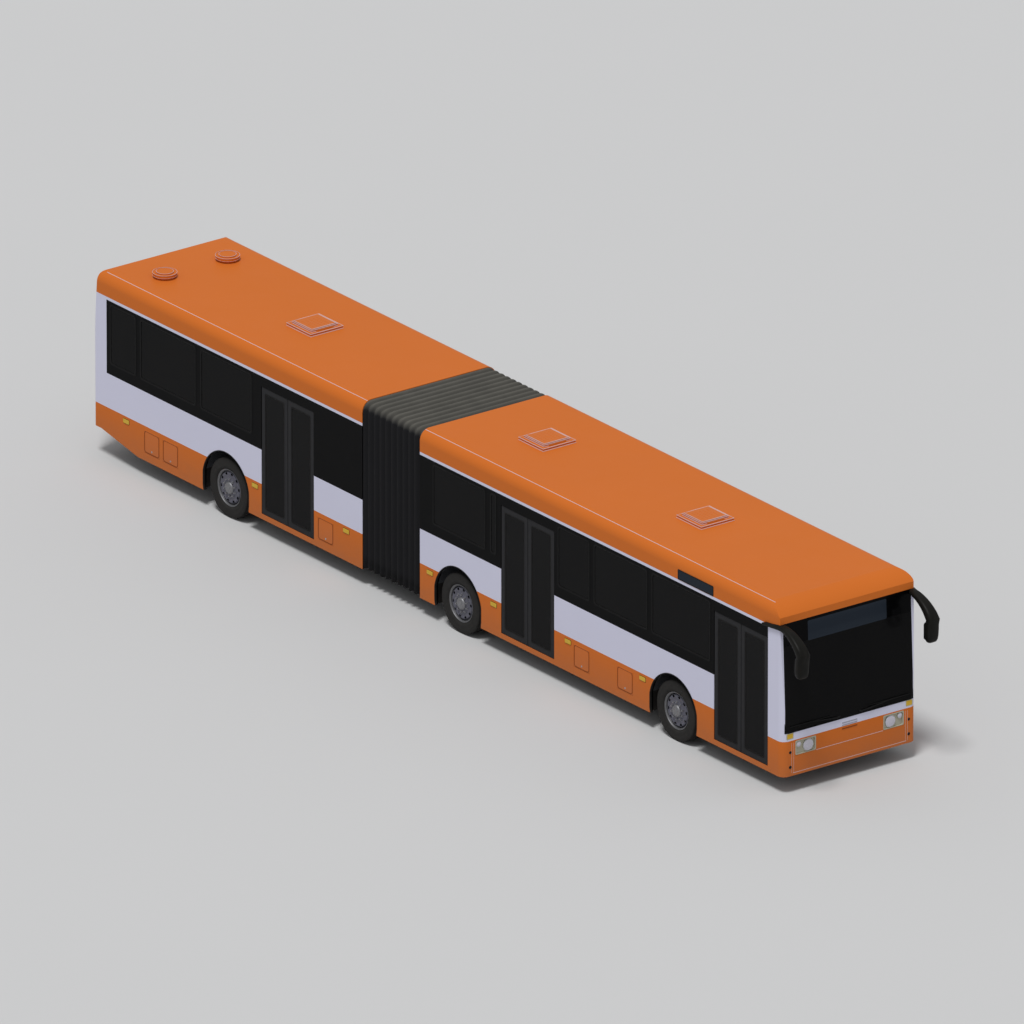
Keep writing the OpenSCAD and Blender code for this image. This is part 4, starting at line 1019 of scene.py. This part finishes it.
def displays():
    """Route displays: a dotted panel behind the windscreen and one over the first side window."""
    boxes = islands("displays")
    front = max(boxes, key=lambda b: b[1].x)
    lo, hi = min(boxes, key=lambda b: b[0].y)
    half, z0, z1 = SIDE_Y - 0.530, 2.390, 2.720
    shape = Shape()
    shape.box((front[0].x, -half, z0), (front[1].x, half, z1), 0.008)
    shape.box((front[1].x - 0.03, -0.06, z1 - 0.01), (front[1].x, 0.06, front[1].z), 0.004)
    piece(shape, "front_display_case", "root", M["black_plastic"], stands_for=["displays"])
    face, trim, panel = Shape(), Shape(), Shape()
    face.plate(rounded(-half, half, 1.395, 1.712, 0.018), LEAN, 0.0004, 0.0022)
    piece(face, "front_display", "root", M["display"])
    out = side_frame(-1)
    edges = (lo.x, hi.x, lo.z, hi.z)
    trim.ring(rounded(*edges, 0.016), rounded(*edges, 0.010, by=0.014), out, 0.0, 0.006)
    piece(trim, "side_display_frame", "root", M["black_plastic"])
    panel.plate(rounded(*edges, 0.012, by=0.010), out, 0.0, 0.0035)
    piece(panel, "side_display", "root", M["display"])


def front_details():
    """Three bars, round covers, and pale lines on the bumper and down its round corners, which are painted
    highlight where the light catches the edges.
    """
    bars, low_bar, covers, highlight_seams = Shape(), Shape(), Shape(), Shape()
    half = 0.145
    for z in (BAND_Z + 0.008, BAND_Z + 0.046):
        bars.plate(rounded(-half, half, z, z + 0.018, 0.006), FRONT, -0.002, 0.004, 0.002)
    piece(bars, "front_bars", "root", M["trim_grey"])
    low_bar.plate(rounded(-half, half, BAND_Z - 0.050, BAND_Z - 0.030, 0.006), FRONT, -0.002, 0.004, 0.002)
    piece(low_bar, "front_low_bar", "root", M["flap_line"])
    for s in (-1, 1):
        for z, r in ((BUMPER_HI.z + 0.07, 0.024), (BUMPER_LO.z + 0.147, 0.026)):
            covers.turned([(0.0, 0.003), (0.6 * r, 0.003), (0.72 * r, 0.0045), (0.9 * r, 0.004), (r, 0.0),
                           (0.0, -0.004)], at(FRONT, s * (SIDE_Y - 0.150), z), 28)
    piece(covers, "front_covers", "root", M["black_plastic"])
    # painted highlight: pale lines along the bumper's edges and down the bends of its corners
    for z, reach in ((BUMPER_HI.z, SIDE_Y - 0.64), (BUMPER_LO.z + 0.045, SIDE_Y - 0.20)):
        highlight_seams.plate(rounded(-reach, reach, z - 0.004, z + 0.004, 0.002, 2), FRONT, -0.003, 0.0012)
    for y in [s * (SIDE_Y - inset) for s in (-1, 1) for inset in (0.175, 0.215)]:
        line = rounded(y - 0.002, y + 0.002, BUMPER_LO.z + 0.05, BUMPER_HI.z + 0.22, 0.0015, 2)
        highlight_seams.plate(line, FRONT, -0.003, 0.0012)
    piece(highlight_seams, "front_highlight_seams", "root", M["seam"])


# ---------- body details ----------

def highlight_seam_lines(body, x0, x1, name):
    """A pale line along each round edge of the roof skin, laid where a sealed joint runs; its pale colour is
    painted highlight where the edge catches the light.
    """
    shape = Shape()
    angle = math.radians(66)
    for s in (-1, 1):
        normal = Vector((0, s * math.cos(angle), math.sin(angle)))
        spot = Vector((0, s * (SIDE_Y - ROOF_R), ROOF_Z - ROOF_R)) + normal * ROOF_R
        frame_ = basis(spot, (1, 0, 0), normal.cross(Vector((1, 0, 0))), normal)
        shape.plate(rounded(x0, x1, -0.005, 0.005, 0.002, 1), frame_, -0.006, 0.0014)
    piece(shape, name, body, M["seam"])


ARCH_R = 0.597    # the wheel arches' openings


def arch_trim(body, centres, name):
    """Rolled lips round the wheel arches: black rubber, swept over the opening."""
    shape = Shape()
    section = [(0.010, -0.002), (0.009, 0.005), (0.001, 0.007), (-0.005, 0.003), (-0.005, -0.030),
               (0.001, -0.030)]
    upright = ARCH_R - 0.012
    low = math.asin((SKIRT_Z + 0.004 - HUB_Z) / ARCH_R)
    steps = 48
    for out in [outward((x, s * SIDE_Y, HUB_Z), s) for x in centres for s in (-1, 1)]:
        rows = []
        for k in range(steps + 1):
            a = low + (math.pi - 2 * low) * k / steps
            c = Vector((math.cos(a), math.sin(a), 0))
            if abs(c.x * ARCH_R) > upright:
                c = Vector((math.copysign(upright / ARCH_R, c.x), c.y, 0))
            rows.append([out @ (c * (ARCH_R + dr) + Vector((0, 0, w))) for dr, w in section])
        shape.loops(rows, caps=True)
    piece(shape, name, body, M["rubber"], smooth=50)


def flap_trim(n):
    """Round-cornered outline on a flap, with its lock."""
    body = f"flap_{n}"
    lo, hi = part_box(body)
    out = side_frame(-1)
    shape = Shape()
    z1 = hi.z - 0.006
    shape.ring(rounded(lo.x + 0.004, hi.x - 0.004, lo.z + 0.004, z1, 0.045),
               rounded(lo.x + 0.016, hi.x - 0.016, lo.z + 0.016, z1 - 0.012, 0.038), out, -0.003, 0.0022)
    piece(shape, f"flap_seal_{n}", body, M["flap_line"])
    shape = Shape()
    shape.turned([(0.0, 0.0016), (0.007, 0.0016), (0.008, 0.0035), (0.014, 0.003), (0.016, 0.0),
                  (0.0, -0.002)], at(out, (lo.x + hi.x) / 2, lo.z + 0.055), 24)
    piece(shape, f"flap_lock_{n}", body, M["zinc"])


BEAD_R = 0.0060    # sealing beads on the roof hatches


def square_bead(shape, centre, half, z):
    """A bead round a square, at a height."""
    corners = [(centre.x + a * half, centre.y + b * half, z) for a, b in ((-1, -1), (1, -1), (1, 1), (-1, 1))]
    shape.tube(divided(corners, 4), BEAD_R, sides=6, closed=True)


def hatch_middle(name):
    """Middle and half width of a square hatch lid, whose hinge ears reach further forward."""
    lo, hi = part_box(name)
    half = (hi.y - lo.y) / 2
    return Vector((lo.x + half, (lo.y + hi.y) / 2)), half


def hatch_trim(name, body):
    """Sealing beads round the tiers of a roof hatch lid, made pale by painted highlight, and five ribs on it.
    """
    lo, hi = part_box(name)
    centre, half = hatch_middle(name)
    shape = Shape()
    for z, inset in ((lo.z + 0.002, 0.0), (lo.z + 0.028, 0.0), (hi.z - 0.001, 0.020)):
        square_bead(shape, centre, half - inset, z)
    piece(shape, f"{name}_beads", body, M["seam"])
    shape = Shape()
    x0, x1 = centre.x - half + 0.09, centre.x + half - 0.09
    for k in range(5):
        y = (k - 2) * 0.07
        shape.plate(rounded(x0, x1, y - 0.012, y + 0.012, 0.011), lying(hi.z), -0.001, 0.0035, 0.003)
    piece(shape, f"{name}_ribs", body, M["lid_paint"])


def hatch_curbs(body, names, tag):
    """Beads at the foot and the top of the raised curbs under the hatch lids."""
    shape = Shape()
    half = 0.310
    for name in names:
        centre = hatch_middle(name)[0]
        square_bead(shape, centre, half + 0.002, ROOF_Z + 0.003)
        square_bead(shape, centre, half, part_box(name)[0].z - 0.002)
    # the beads' pale colour is painted highlight along the curbs' edges
    piece(shape, f"hatch_curbs_{tag}", body, M["seam"])


def vent_trim():
    """Beads and intake slats round the two mushroom vents on the rear roof."""
    shape, slats = Shape(), Shape()
    for s in (-1, 1):
        spot = Matrix.Translation((REAR_X + 0.940, s * 0.600, ROOF_Z))
        for r, z in ((0.190, 0.080), (0.190, 0.037), (0.135, 0.094)):
            bead = [(r - 0.002, z), (r + 0.003, z + 0.003), (r + 0.003, z + 0.005), (r - 0.003, z + 0.006)]
            shape.lathe(bead, spot, steps=48)
        for k in range(24):
            a = math.tau * k / 24
            c, t = Vector((math.cos(a), math.sin(a), 0)), Vector((-math.sin(a), math.cos(a), 0))
            foot = spot @ (c * 0.166) + t * 0.012
            slats.tube([foot - c * 0.004, foot + c * 0.010 + Vector((0, 0, 0.034))], 0.003, sides=5)
    # the beads' pale colour is painted highlight round the vents' edges
    piece(shape, "vent_beads", "rear_section", M["seam"])
    piece(slats, "vent_slats", "rear_section", M["lid_paint"])


def slatted(shape, frame_, half, z0, z1, count, tilt, width, thick, lift):
    """Evenly spaced tilted slats between two heights."""
    u0, u1 = half
    for k in range(count):
        z = z0 + (z1 - z0) * (k + 0.5) / count
        turned = at(frame_, 0, z, lift) @ Matrix.Rotation(math.radians(tilt), 4, "X")
        outline = rounded(u0 + 0.002, u1 - 0.002, -width, width, 0.004, 2)
        shape.plate(outline, turned, -thick, thick)


def engine_grilles():
    """Slatted outlet in the engine lid, its handle, and a slatted intake in the left rear wall."""
    lo, hi = ENGINE_LID
    frame_, slats, handle = Shape(), Shape(), Shape()
    z0, z1, half = lo.z + 0.12, hi.z - 0.16, 0.62
    frame_.ring(rounded(-half, half, z0, z1, 0.03, by=-0.02), rounded(-half, half, z0, z1, 0.02), REAR,
                -0.010, 0.003)
    slatted(slats, REAR, (-half, half), z0, z1, 14, -35, 0.014, 0.002, -0.004)
    piece(frame_, "engine_lid_frame", "engine_lid", M["black_plastic"])
    piece(slats, "engine_lid_slats", "engine_lid", M["black_plastic"])
    path = [(y, lo.z + 0.05, w) for y, w in ((-0.07, 0.0), (-0.066, 0.0032), (0.066, 0.0032), (0.07, 0.0))]
    handle.tube([REAR @ Vector(p) for p in path], 0.0045, sides=8)
    piece(handle, "engine_lid_handle", "engine_lid", M["black_plastic"])
    side, vanes = Shape(), Shape()
    left = side_frame(1)
    edges = (REAR_X + 0.42, REAR_X + 1.22, 1.46, 2.30)
    side.ring(rounded(*edges, 0.03, by=-0.02), rounded(*edges, 0.02), left, -0.002, 0.006)
    side.plate(rounded(*edges, 0.02), left, -0.002, 0.0008)
    slatted(vanes, left, edges[:2], edges[2], edges[3], 20, 18, 0.016, 0.001, 0.004)
    piece(side, "intake_frame", "rear_section", M["black_plastic"])
    piece(vanes, "intake_vanes", "rear_section", M["black_plastic"])


def rear_details():
    """Blank plate, rear bumper strip and two reflectors."""
    plate, strip, reflectors = Shape(), Shape(), Shape()
    lid_z, end_z, reach = ENGINE_LID[0].z, END_LO.z, SIDE_Y - 0.16
    plate.plate(rounded(-0.26, 0.26, lid_z - 0.145, lid_z - 0.035, 0.012), REAR, -0.001, 0.0035, 0.001)
    piece(plate, "rear_plate", "rear_section", M["blank_plate"])
    strip.plate(rounded(-reach, reach, end_z + 0.012, end_z + 0.030, 0.008), REAR, -0.002, 0.004, 0.002)
    piece(strip, "rear_bumper_strip", "rear_section", M["rubber"])
    for y in (-0.95, 0.95):
        outline = rounded(y - 0.05, y + 0.05, end_z + 0.055, end_z + 0.095, 0.008)
        reflectors.plate(outline, REAR, -0.002, 0.004, 0.002)
    piece(reflectors, "rear_reflectors", "rear_section", M["red"])


# ---------- inside ----------

def padded_cushion(bm, lo, hi, crown, channels):
    """An upholstered cushion: crowned faces, pulled-in corners and sewn channels across it."""
    nx, ny = 14, 20
    lo, hi = Vector(lo), Vector(hi)
    span = hi - lo
    thin = min(range(3), key=lambda i: span[i])
    u, v = [i for i in range(3) if i != thin]

    def point(a, b, side):
        p = Vector(lo)
        pinch = 0.012 * (abs(2 * a - 1) ** 4) * (abs(2 * b - 1) ** 4)
        edge_u = 0.010 * (1 - (2 * b - 1) ** 2)
        edge_v = 0.008 * (1 - (2 * a - 1) ** 2)
        p[u] += span[u] * a + (0.5 - a) * 2 * (0.012 - edge_u + pinch)
        p[v] += span[v] * b + (0.5 - b) * 2 * (0.010 - edge_v + pinch)
        dome = (1 - (2 * a - 1) ** 6) * (1 - (2 * b - 1) ** 6)
        sewn = sum(0.0045 * math.exp(-((b * channels - k) * 7) ** 2) for k in range(1, channels))
        rise = span[thin] * (0.5 - crown) + dome * span[thin] * crown - sewn * dome
        p[thin] += span[thin] / 2 + side * rise
        return p

    top = [[bm.verts.new(point(i / nx, j / ny, 1)) for j in range(ny + 1)] for i in range(nx + 1)]
    low = [[bm.verts.new(point(i / nx, j / ny, -1)) for j in range(ny + 1)] for i in range(nx + 1)]
    for grid in (top, low):
        for i in range(nx):
            for j in range(ny):
                bm.faces.new((grid[i][j], grid[i + 1][j], grid[i + 1][j + 1], grid[i][j + 1]))
    rim = [(i, 0) for i in range(nx)] + [(nx, j) for j in range(ny)]
    rim += [(i, ny) for i in range(nx, 0, -1)] + [(0, j) for j in range(ny, 0, -1)]
    for (i, j), (k, m) in zip(rim, rim[1:] + rim[:1]):
        bm.faces.new((top[i][j], top[k][m], low[k][m], low[i][j]))


def seat_frame(metal, lo, hi, seat_z):
    """Four splayed legs, a foot plate and a tray under a double seat."""
    middle = (lo.y + hi.y) / 2
    for dx in (0.12, 0.30):
        for s in (-1, 1):
            path = [(0.14, seat_z), (0.10, seat_z - 0.06), (0.04, lo.z + 0.02), (0.04, lo.z + 0.002)]
            metal.tube([(lo.x + dx, middle + s * dy, z) for dy, z in path], 0.016, sides=10)
    metal.box((lo.x + 0.09, middle - 0.11, lo.z + 0.0005), (lo.x + 0.33, middle + 0.11, lo.z + 0.010), 0.003)
    metal.box((lo.x + 0.04, lo.y + 0.02, seat_z - 0.022), (hi.x - 0.03, hi.y - 0.02, seat_z), 0.004)


def seats(node, body):
    """Double seats: moulded shells, padded cushions, grab handles and pedestals."""
    pads, shell, metal = Shape(), Shape(), Shape()
    for lo, hi in islands(node):
        width = (hi.y - lo.y) / 2
        seat_z = lo.z + 0.420
        x0, x1 = lo.x, hi.x
        for k in range(2):
            y0 = lo.y + k * width + 0.008
            y1 = y0 + width - 0.016
            padded_cushion(pads.bm, (x0 + 0.018, y0 + 0.012, seat_z + 0.10),
                           (x0 + 0.052, y1 - 0.012, hi.z - 0.04), 0.22, 3)
            padded_cushion(pads.bm, (x0 + 0.060, y0 + 0.010, seat_z + 0.022),
                           (x1 - 0.006, y1 - 0.010, seat_z + 0.069), 0.22, 1)
            back = rounded(y0, y1, seat_z + 0.02, hi.z - 0.003, 0.07)
            base = rounded(x0 + 0.004, x1, y0, y1, 0.05)
            shell.plate(back, across(x0), 0.002, 0.020, 0.006)
            shell.plate(base, lying(seat_z), 0.002, 0.024, 0.006)
            grip = [(y0 + 0.10, 0.02), (y0 + 0.11, 0.005), ((y0 + y1) / 2, 0.003), (y1 - 0.11, 0.005),
                    (y1 - 0.10, 0.02)]
            metal.tube([(x0 + 0.010, y, hi.z - drop) for y, drop in grip], 0.009, sides=8)
        seat_frame(metal, lo, hi, seat_z)
    tag = "front" if body == "root" else "rear"
    obj = piece(pads, f"{tag}_seat_cushions", body, M["moquette"], 60, [node])
    piece(shell, f"{tag}_seat_shells", body, M["seat_shell"])
    piece(metal, f"{tag}_seat_frames", body, M["grab_bar"])


def grab_poles(body, stations, tag):
    """Floor-to-ceiling poles and a ceiling rail on each side of the aisle."""
    shape = Shape()
    ceiling, rail_z = ROOF_Z - 0.062, ROOF_Z - 0.20
    flange = [(0.0, 0.0), (0.040, 0.0), (0.040, 0.006), (0.020, 0.014), (0.0, 0.014)]
    for x, y in stations:
        floor = REAR_FLOOR_Z if x < REAR_STEP_X else FLOOR_Z + 0.002
        shape.tube([(x, y, floor + (ceiling - floor) * k / 10) for k in range(11)], 0.0175, sides=12)
        spot = Matrix.Translation((x, y, 0))
        shape.turned([(r, floor + h) for r, h in flange], spot, 20)
        shape.turned([(r, ceiling - h) for r, h in flange], spot, 20)
    x0, x1 = min(x for x, _ in stations), max(x for x, _ in stations)
    for y in (-0.42, 0.42):
        shape.tube([(x, y, rail_z) for x in np.linspace(x0, x1, 12)], 0.0160, sides=12)
        for x in np.linspace(x0, x1, 6):
            shape.tube([(x, y, rail_z), (x, y, ceiling)], 0.010, sides=8)
    piece(shape, f"grab_poles_{tag}", body, M["grab_bar"])


def dashboard():
    """Sculpted dashboard across the driver's half of the bus."""
    low, high = (FRONT_X - 0.700, 0.120, 0.3505), (FRONT_X - 0.092, SIDE_Y - 0.074, 0.970)
    x0, x1, z0, z1 = low[0], high[0], low[2], high[2]
    outline = [(x0 + 0.02, z0), (x1, z0), (x1, z1 - 0.06), (x1 - 0.10, z1 - 0.004), (x1 - 0.26, z1),
               (x0 + 0.20, z1 - 0.03), (x0 + 0.02, z1 - 0.12), (x0, z1 - 0.16), (x0 + 0.03, z1 - 0.19),
               (x0 + 0.16, z1 - 0.24), (x0 + 0.22, z0 + 0.06)]
    shape = Shape().plate(outline, outward((0, low[1], 0), 1), 0.0, high[1] - low[1])
    piece(shape, "dashboard", "root", M["dash"], stands_for=["driver_station"])


def steering_wheel(tilt):
    """Steering wheel with three spokes, its hub and its column."""
    shape = Shape()
    shape.tube(circle(tilt, 0.215, 48), 0.0135, sides=10, closed=True)
    for a in [math.tau * (k / 3 + 0.25) for k in range(3)]:
        spoke = [Vector((r * math.cos(a), r * math.sin(a), -0.030 * (1 - r / 0.21)))
                 for r in (0.03, 0.09, 0.15, 0.21)]
        shape.tube([tilt @ p for p in spoke], [0.014, 0.011, 0.010, 0.011], sides=8, flat=1.6)
    shape.turned([(0.0, -0.012), (0.030, -0.014), (0.052, -0.022), (0.058, -0.040), (0.040, -0.07),
                  (0.028, -0.09), (0.028, -0.42), (0.0, -0.42)], tilt, 32)
    piece(shape, "steering_wheel", "root", M["black_plastic"])


def dash_gauges(tilt):
    """Three gauges beyond the steering wheel."""
    gauges = Shape()
    for k in range(3):
        gauges.turned([(0.0, 0.0), (0.045, 0.0), (0.050, 0.006), (0.054, 0.0), (0.054, -0.02), (0.0, -0.02)],
                      at(tilt, 0.30, -0.14 + 0.14 * k, 0.02), 28)
    piece(gauges, "dash_gauges", "root", M["black_plastic"])


def driver_seat(x, y):
    """Padded seat with a headrest, on a pedestal with a gaiter of six folds."""
    pads, base = Shape(), Shape()
    padded_cushion(pads.bm, (x + 0.095, y - 0.235, 0.735), (x + 0.475, y + 0.235, 0.828), 0.20, 1)
    padded_cushion(pads.bm, (x + 0.005, y - 0.235, 0.85), (x + 0.088, y + 0.235, 1.42), 0.20, 4)
    padded_cushion(pads.bm, (x + 0.010, y - 0.14, 1.43), (x + 0.075, y + 0.14, 1.498), 0.20, 1)
    obj = piece(pads, "driver_seat_cushions", "root", M["moquette"], smooth=60)
    base.box((x + 0.06, y - 0.19, 0.3505), (x + 0.42, y + 0.19, 0.40), 0.01)
    for k in range(6):
        z, tuck = 0.42 + k * 0.05, 0.008 * (k % 2)
        base.box((x + 0.10 + tuck, y - 0.16, z - 0.022), (x + 0.38 - tuck, y + 0.16, z + 0.022), 0.012)
    base.box((x + 0.04, y - 0.225, 0.700), (x + 0.46, y + 0.225, 0.733), 0.010)
    piece(base, "driver_seat_base", "root", M["black_plastic"])


def driver_screen(x):
    """Half-glazed screen behind the driver."""
    panel, glass = Shape(), Shape()
    face = across(x)
    panel.plate(rounded(0.24, SIDE_Y - 0.074, 0.3505, 1.10, 0.02), face, 0.0, 0.030, 0.004)
    rail_x = x + 0.015
    rail = [(rail_x, 0.255, 1.10), (rail_x, 0.255, 1.845), (rail_x, SIDE_Y - 0.085, 1.845)]
    panel.tube(rail, 0.0125, sides=10)
    piece(panel, "driver_screen_panel", "root", M["panel_grey"])
    glass.plate(rounded(0.262, SIDE_Y - 0.080, 1.10, 1.838, 0.02), face, 0.012, 0.018)
    piece(glass, "driver_screen_glass", "root", M["clear_glass"])


def driver_area():
    """Driver's place: dashboard, wheel and column, padded seat and half-glazed screen."""
    y = SIDE_Y - 0.575
    centre = Vector((FRONT_X - 0.900, y, FLOOR_Z + 0.740))
    dashboard()
    tilt = Matrix.Translation(centre) @ Matrix.Rotation(math.radians(-30), 4, "Y")
    steering_wheel(tilt)
    driver_seat(FRONT_X - 1.680, y)
    driver_screen(FRONT_X - 1.790)
    dash_gauges(tilt)


def underbody():
    """Springs and a differential at the middle and rear axles."""
    spring = [(0.0, 0.135), (0.055, 0.135), (0.085, 0.150), (0.095, 0.170), (0.080, 0.185), (0.060, 0.195),
              (0.060, 0.215), (0.0, 0.215)]
    gear_case = [(0.0, -0.10), (0.07, -0.09), (0.11, -0.05), (0.13, 0.0), (0.11, 0.05), (0.07, 0.09),
                 (0.0, 0.10)]
    for body, x, tag in (("root", AXLE_X[1], "middle"), ("rear_section", AXLE_X[2], "rear")):
        shape = Shape()
        for y in (-0.40, 0.40):
            for dx in (-0.30, 0.30):
                shape.turned(spring, Matrix.Translation((x + dx, y, 0.0)), 28)
        shape.turned(gear_case, across(x - 0.04, 0.26), 28)
        piece(shape, f"springs_{tag}", body, M["rubber"])


# ---------- materials in use ----------

def floor_and_frame():
    """Speckled vinyl on the passenger floor; road-stained black coating on everything under it."""
    m = Shade("floor_and_frame")
    up = m.add("ShaderNodeSeparateXYZ", [(0, m.add("ShaderNodeNewGeometry").outputs["Normal"])]).outputs[2]
    upper = m.calc("MAXIMUM", m.above(up, 0.5), m.above(m.z, 0.60))
    inside = m.all_of(m.above(m.z, SKIRT_Z + 0.06), upper)
    speck = m.noise(240.0, 2.0, 0.5)
    vinyl = m.mix(m.above(speck, 0.60), (0.085, 0.09, 0.10, 1), (0.20, 0.20, 0.21, 1))
    grime = m.mix(m.spread(m.noise(6.0, 6.0, 0.7), 0.0, 0.8), grey(0.012), grey(0.045, (1.15, 1.0, 0.85)))
    m.set(Base_Color=m.mix(inside, grime, vinyl), Roughness=m.spread(m.noise(12.0, 4.0), 0.55, 0.9),
          Specular_IOR_Level=0.3)
    return m.bump(m.noise(60.0, 4.0, 0.7), 0.25, 0.003).mat


# name: colour, second colour, scale of the patches, roughness from and to, scale of the grain, its depth
MATT = {
    "flap_line": ((0.30, 0.070, 0.014, 1), (0.20, 0.05, 0.012, 1), 20.0, 0.4, 0.6, 120.0, 0.001),
    # pale colour for the lines and beads along edges: a painted highlight where the edges catch the light
    "seam": ((0.66, 0.52, 0.54, 1), (0.64, 0.40, 0.34, 1), 30.0, 0.4, 0.6, 150.0, 0.0005),
    "trim_grey": ((0.36, 0.36, 0.42, 1), (0.28, 0.28, 0.32, 1), 30.0, 0.3, 0.5, 120.0, 0.0005),
    "mirror_shell": (grey(0.006), (0.020, 0.019, 0.015, 1), 8.0, 0.30, 0.5, 150.0, 0.0006),
    "gasket": (grey(0.006), grey(0.016), 20.0, 0.45, 0.7, 180.0, 0.0008),
    "rubber": (grey(0.012), grey(0.030, (1.1, 1, 0.9)), 16.0, 0.55, 0.8, 180.0, 0.001),
    "door_frame": (grey(0.0165, (1, 1, 1.12)), grey(0.032, (1, 1, 1.05)), 12.0, 0.30, 0.5, 200.0, 0.0006),
    "grab_bar": ((0.75, 0.42, 0.03, 1), (0.55, 0.30, 0.03, 1), 14.0, 0.3, 0.5, 160.0, 0.0005),
    "seat_shell": ((0.10, 0.11, 0.13, 1), (0.16, 0.16, 0.17, 1), 12.0, 0.4, 0.6, 220.0, 0.0006),
    "panel_grey": (grey(0.30), grey(0.22), 8.0, 0.45, 0.65, 150.0, 0.0006),
    "dash": (grey(0.030), grey(0.055), 10.0, 0.5, 0.7, 260.0, 0.001),
    "black_plastic": (grey(0.010), grey(0.024), 14.0, 0.4, 0.6, 220.0, 0.0008),
    "lamp_frame": ((0.46, 0.44, 0.34, 1), (0.36, 0.34, 0.27, 1), 18.0, 0.25, 0.45, 160.0, 0.0006),
    "lamp_dark": (grey(0.020), grey(0.035), 18.0, 0.25, 0.45, 160.0, 0.0006),
    "blank_plate": (grey(0.62), grey(0.50), 12.0, 0.3, 0.5, 120.0, 0.0005),
    "chassis_coat": (grey(0.020), grey(0.060, (1.15, 1, 0.85)), 7.0, 0.5, 0.85, 70.0, 0.002),
    "cast_iron": (grey(0.055), grey(0.10, (1.2, 0.95, 0.75)), 9.0, 0.5, 0.8, 60.0, 0.002),
    "portal_panel": (grey(0.26), grey(0.20), 9.0, 0.45, 0.65, 160.0, 0.0006),
}
# name: brightness, roughness
METAL = {"mirror_glass": (0.75, 0.06), "rim_ring": (0.22, 0.5), "hub": (0.30, 0.5), "zinc": (0.40, 0.35),
         "reflector": (0.62, 0.20)}
# name: brightness, alpha, dust, height of a black border
GLASS = {"windscreen_glass": (0.0042, 0.95, 2.0, SCREEN_HI.z - 0.36), "pane_glass": (0.0045, 0.96, 2.0),
         "door_glass": (0.0060, 0.96), "clear_glass": (0.20, 0.25)}
# name: colour, colour between the ribs, scale of the ribs
LENS = {"clear_lens": ((0.62, 0.60, 0.68, 1), (0.48, 0.47, 0.52, 1), 60.0),
        "amber": ((0.70, 0.45, 0.035, 1), (0.56, 0.34, 0.02, 1), 90.0),
        "red": ((0.42, 0.015, 0.012, 1), (0.24, 0.01, 0.01, 1), 90.0)}


def materials():
    """Every material, by the short name that the pieces use."""
    made = {"paint_front": livery("paint_front", "root"), "paint_rear": livery("paint_rear", "rear_section"),
            "lid_paint": plain_orange("lid_paint"), "tyre": tyre_rubber(), "wheel": wheel_paint(),
            "pleats": pleat_fabric(), "moquette": moquette(), "display": dot_display(),
            "floor_and_frame": floor_and_frame()}
    for kind, table in ((matt, MATT), (bright_metal, METAL), (dark_glass, GLASS), (lens, LENS)):
        made.update({name: kind(name, *look) for name, look in table.items()})
    return made


FINISH_NODES = {
    "floor_and_frame": ["front_underframe", "rear_underframe"],
    "paint_front": ["front_wall_right", "front_wall_left", "front_roof", "front_mask", "front_bumper"],
    "paint_rear": ["rear_wall_right", "rear_wall_left", "rear_roof", "rear_end", "engine_lid"],
    "windscreen_glass": ["windscreen"],
    "pane_glass": ["front_windows", "rear_windows"],
    "portal_panel": ["front_portal", "rear_portal"],
    "chassis_coat": ["front_axle", "middle_axle", "rear_axle"],
    "cast_iron": ["knuckle_left", "knuckle_right", "engine"],
    "lid_paint": ["front_hatch_lid", "middle_hatch_lid", "rear_hatch_lid", "flap_1", "flap_2", "flap_3",
                  "flap_4", "flap_5"],
}

AXLE_X = [WHEELS[f"wheel_{row}_left"].x for row in ("front", "middle", "rear")]
REAR_STEP_X = AXLE_X[2] - 0.707    # the rear floor steps up behind this
REAR_FLOOR_Z = 0.912               # the raised floor over the engine
M = materials()


def build():
    """All the pieces, from the outside in."""
    camera()
    studio()
    for finish, nodes in FINISH_NODES.items():
        for node in nodes:
            paint_node(node, M[finish])
    for body, centre in WHEELS.items():
        wheel(body, centre)
    for n in (1, 2, 3):
        for part in ("front", "rear"):
            door_leaf(n, part)
    bellows()
    hoop()
    for body in PANES:
        window_gaskets(body)
    screen_trim()
    for s in (-1, 1):
        mirror(s)
    front_lamps()
    side_markers("front_lamps", "root", "front_markers")
    tail_lamps()
    side_markers("rear_lamps", "rear_section", "rear_markers")
    displays()
    front_details()
    highlight_seam_lines("root", FRONT_END_X + 0.002, FRONT_X - 0.32, "front_highlight_seam_lines")
    highlight_seam_lines("rear_section", REAR_X + 0.22, REAR_START_X - 0.002, "rear_highlight_seam_lines")
    arch_trim("root", AXLE_X[:2], "front_arch_lips")
    arch_trim("rear_section", AXLE_X[2:], "rear_arch_lips")
    for n in range(1, 6):
        flap_trim(n)
    for lid in ("front", "middle", "rear"):
        hatch_trim(f"{lid}_hatch_lid", f"{lid}_hatch")
    hatch_curbs("root", ("front_hatch_lid", "middle_hatch_lid"), "front")
    hatch_curbs("rear_section", ("rear_hatch_lid",), "rear")
    vent_trim()
    engine_grilles()
    rear_details()
    seats("front_seats", "root")
    seats("rear_seats", "rear_section")
    front_poles = [(x, y) for x in (4.7, 3.2, 1.75) for y in (-0.42, 0.42)]
    grab_poles("root", front_poles + [(6.5, -0.55)], "front")
    grab_poles("rear_section", [(x, y) for x in (-3.0, -4.5, -7.4) for y in (-0.42, 0.42)], "rear")
    driver_area()
    underbody()


build()
